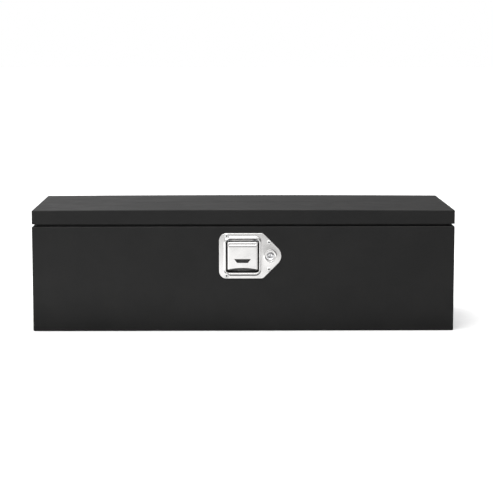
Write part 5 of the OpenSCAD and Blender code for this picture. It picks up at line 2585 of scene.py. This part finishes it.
    def build(self) -> None:
        """Builds and dresses the strut."""
        tube_body = f"{self.side.value}_strut_tube"
        rod_body = f"{self.side.value}_strut_rod"
        head = self.foot + self.line * self.length
        settle(self.cylinder(), tube_body, STRUT_PAINT, [self.node("cylinder")])
        settle(self.socket(self.foot, self.line, "socket_low"), tube_body, NYLON, [self.node("socket_lower")])
        settle(self.clip(self.foot, "clip_low"), tube_body, SPRING)
        settle(self.rod_piece(), rod_body, ROD_CHROME, [self.node("rod")])
        settle(self.piston(), rod_body, PISTON, [self.node("piston")])
        settle(self.socket(head, -self.line, "socket_high"), rod_body, NYLON, [self.node("socket_upper")])
        settle(self.clip(head, "clip_high"), rod_body, SPRING)
        settle(self.stud(head, 0.0, "ball_stud_high"), rod_body, ZINC, [self.node("stud_lid")])
        settle(self.stud(self.foot, 7 * MM, "ball_stud_low"), Body.TUB, ZINC, [self.node("stud_tub")])
        settle(refined(self.node("bracket_tub")), Body.TUB, POWDER, [self.node("bracket_tub")], 0.3 * MM)


@dataclass
class StrutFixings:
    """The nuts on the lower ball studs and the rivets of their brackets, on both sides."""

    nut_height: float = 4.0 * MM
    nut_radius: float = 5.8 * MM
    thread: float = 3.0 * MM
    rivet_offset: float = 21.0 * MM

    def build(self) -> None:
        """Builds and dresses the nuts and rivets."""
        nuts, rivets = [], []
        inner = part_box("strut_bracket_rivets")
        for side in Side:
            foot = joint_place(f"{side.value}_strut_swing")
            out = -1.0 if side is Side.LEFT else 1.0
            turn = Vector((out, 0, 0)).to_track_quat("Z", "Y").to_matrix().to_4x4()
            nut = hex_nut(self.nut_radius, self.nut_height, self.thread)
            nut.data.transform(Matrix.Translation(foot + Vector((out * 10 * MM, 0, 0))) @ turn)
            nuts.append(nut)
            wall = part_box(f"strut_bracket_tub_{side.value}")
            inside = wall[1].x - 2 * MM if out > 0 else wall[0].x + 2 * MM
            outside = inner[1].x if out > 0 else inner[0].x
            reach = abs(outside - inside)
            profile = mm_from(0, 0, (-1.2, 0), (-1.15, 2.6), (-0.7, 3.6), (-0.1, 3.8), (0, 3.6))
            tip = reach + 0.15 * MM
            profile += [(0, 2.3 * MM), (tip - 0.1 * MM, 2.3 * MM), (tip, 2.1 * MM), (tip, 0)]
            pattern = turned("bracket_rivet", profile, ORIGIN, Vector((out, 0, 0)), 32)
            spots = [(inside, foot.y, foot.z + dz) for dz in (-self.rivet_offset, self.rivet_offset)]
            rivets.append(at_spots("bracket_rivets", pattern, RIVET, spots, seed=7))
        settle(joined("strut_hex_nuts", *nuts), Body.TUB, ZINC, ["strut_stud_nuts"], 0.12 * MM)
        settle(joined("bracket_set_rivets", *rivets), Body.TUB, RIVET, ["strut_bracket_rivets"])


# ---- studio


@dataclass
class Studio:
    """The pale floor, the surroundings, the soft lights and the camera."""

    eye: Point3 = (-0.0405, -3.9356, 0.6923)
    yaw: float = math.radians(0.72)
    pitch: float = math.radians(7.452)
    lens: float = 118.2
    sensor: float = 36.0
    wash: Point2 = (0.42, 0.12)
    front_share: float = 1.6
    ceiling: float = 1.1
    sun_power: float = 1.7
    # The floor's glow in reflections, as painted light: mirrored sets it from left to right, near and
    # mirrored_near paint shade near the box's front, far and mirrored_far dim it far off.
    mirrored: Point2 = (1.7, 0.85)
    mirrored_near: float = 0.12
    near: Point2 = (-0.28, -0.36)
    far: Point2 = (-1.55, -1.95)
    mirrored_far: float = 0.38
    sun_spread: float = math.radians(60)
    floor_reach: float = 30.0

    def camera(self) -> None:
        """Places the camera in front of the box, a little above it."""
        data = bpy.data.cameras.new("camera")
        data.lens = self.lens
        data.sensor_width = self.sensor
        data.clip_end = 100.0
        eye = bpy.data.objects.new("camera", data)
        eye.location = self.eye
        eye.rotation_euler = (math.pi / 2 - self.pitch, 0.0, -self.yaw)
        bpy.context.scene.collection.objects.link(eye)
        bpy.context.scene.camera = eye

    def floor(self) -> None:
        """Lays a wide pale floor, which glows for reflected rays as painted light: brighter to the left,
        dimmer far off, and darkened near the box's front as painted shade.
        """
        draft = Draft()
        r = self.floor_reach
        draft.cap(draft.ring([(-r, -r, 0), (r, -r, 0), (r, r, 0), (-r, r, 0)]))
        floor = draft.finish("floor")
        material = bpy.data.materials.new("pale_floor")
        material.use_nodes = True
        net = Net(material.node_tree)
        place_in = net.add("TexCoord").outputs["Object"]
        grain = net.add("TexNoise", {"Vector": place_in, "Scale": 40.0, "Detail": 3.0})
        tone = net.mix(net.remap(grain.outputs[0], 0.3, 0.7), (0.93, 0.93, 0.93, 1.0),
                       (0.95, 0.95, 0.95, 1.0))
        surface = net.add("BsdfPrincipled", {"Base Color": tone, "Roughness": 0.9, "Specular IOR Level": 0.1})
        parts = net.add("SeparateXYZ", {0: place_in})
        # Painted light on the floor for reflected rays only: a glow brighter to the left, with painted shade
        # near the box and a fade far off.
        sideways = net.remap(parts.outputs["X"], -0.7, 0.7, self.mirrored[0], self.mirrored[1])
        close = net.remap(parts.outputs["Y"], self.near[0], self.near[1], self.mirrored_near, 1.0)
        away = net.remap(parts.outputs["Y"], self.far[0], self.far[1], 1.0, self.mirrored_far)
        strength = net.math("MULTIPLY", net.math("MULTIPLY", sideways, close), away)
        painted_floor_glow = net.add("Emission", {"Strength": strength})
        mirrored = net.add("LightPath").outputs["Is Glossy Ray"]
        both = net.add("MixShader", {0: mirrored, 1: surface.outputs[0], 2: painted_floor_glow.outputs[0]})
        net.add("OutputMaterial", {"Surface": both.outputs[0]})
        floor.data.materials.append(material)

    def surroundings(self) -> None:
        """Fills the room: white to look at, and a dim wash from left to right for all else."""
        world = bpy.data.worlds.new("room")
        bpy.context.scene.world = world
        world.use_nodes = True
        net = Net(world.node_tree)
        way = net.add("TexCoord").outputs["Generated"]
        parts = net.add("SeparateXYZ", {0: way})
        sideways = net.remap(parts.outputs["X"], -0.16, 0.16, self.wash[0], self.wash[1])
        behind = net.remap(parts.outputs["Y"], -0.2, 0.6, self.front_share, 1.0)
        ceiling = net.remap(parts.outputs["Z"], 0.35, 0.8, 0.0, self.ceiling)
        wash = net.math("ADD", net.math("MULTIPLY", sideways, behind), ceiling)
        dim = net.add("Background", {"Color": (1.0, 1.0, 1.0, 1.0), "Strength": wash})
        white = net.add("Background", {"Color": (1.0, 1.0, 1.0, 1.0), "Strength": 1.0})
        seen = net.add("LightPath").outputs["Is Camera Ray"]
        both = net.add("MixShader", {0: seen, 1: dim.outputs[0], 2: white.outputs[0]})
        net.add("OutputWorld", {"Surface": both.outputs[0]})

    def overhead(self) -> None:
        """Hangs a wide soft light overhead, a little to the left and the front."""
        data = bpy.data.lights.new("overhead", "SUN")
        data.energy = self.sun_power
        data.angle = self.sun_spread
        lamp = bpy.data.objects.new("overhead", data)
        lamp.rotation_euler = (math.radians(14), math.radians(-10), 0.0)
        bpy.context.scene.collection.objects.link(lamp)

    def build(self) -> None:
        """Sets the studio up."""
        self.camera()
        self.floor()
        self.surroundings()
        self.overhead()
        view = bpy.context.scene.view_settings
        view.view_transform = "Standard"
        view.look = "None"
        view.exposure = 0.0
        view.gamma = 1.0


def main() -> None:
    """Builds the box's sub-assemblies in order, and the studio round them."""
    logging.basicConfig(level=logging.INFO, format="%(name)s: %(message)s")
    Studio().build()
    latch = Latch()
    Tub().build(latch)
    RimTrim().build()
    Lid().build()
    Striker().build()
    ContinuousHinge().build()
    latch.build()
    Paddle(latch).build()
    HookGear(latch).build()
    KeyLock(latch).build()
    for side in Side:
        GasStrut(side).build()
    StrutFixings().build()


if __name__ == "__main__":
    main()
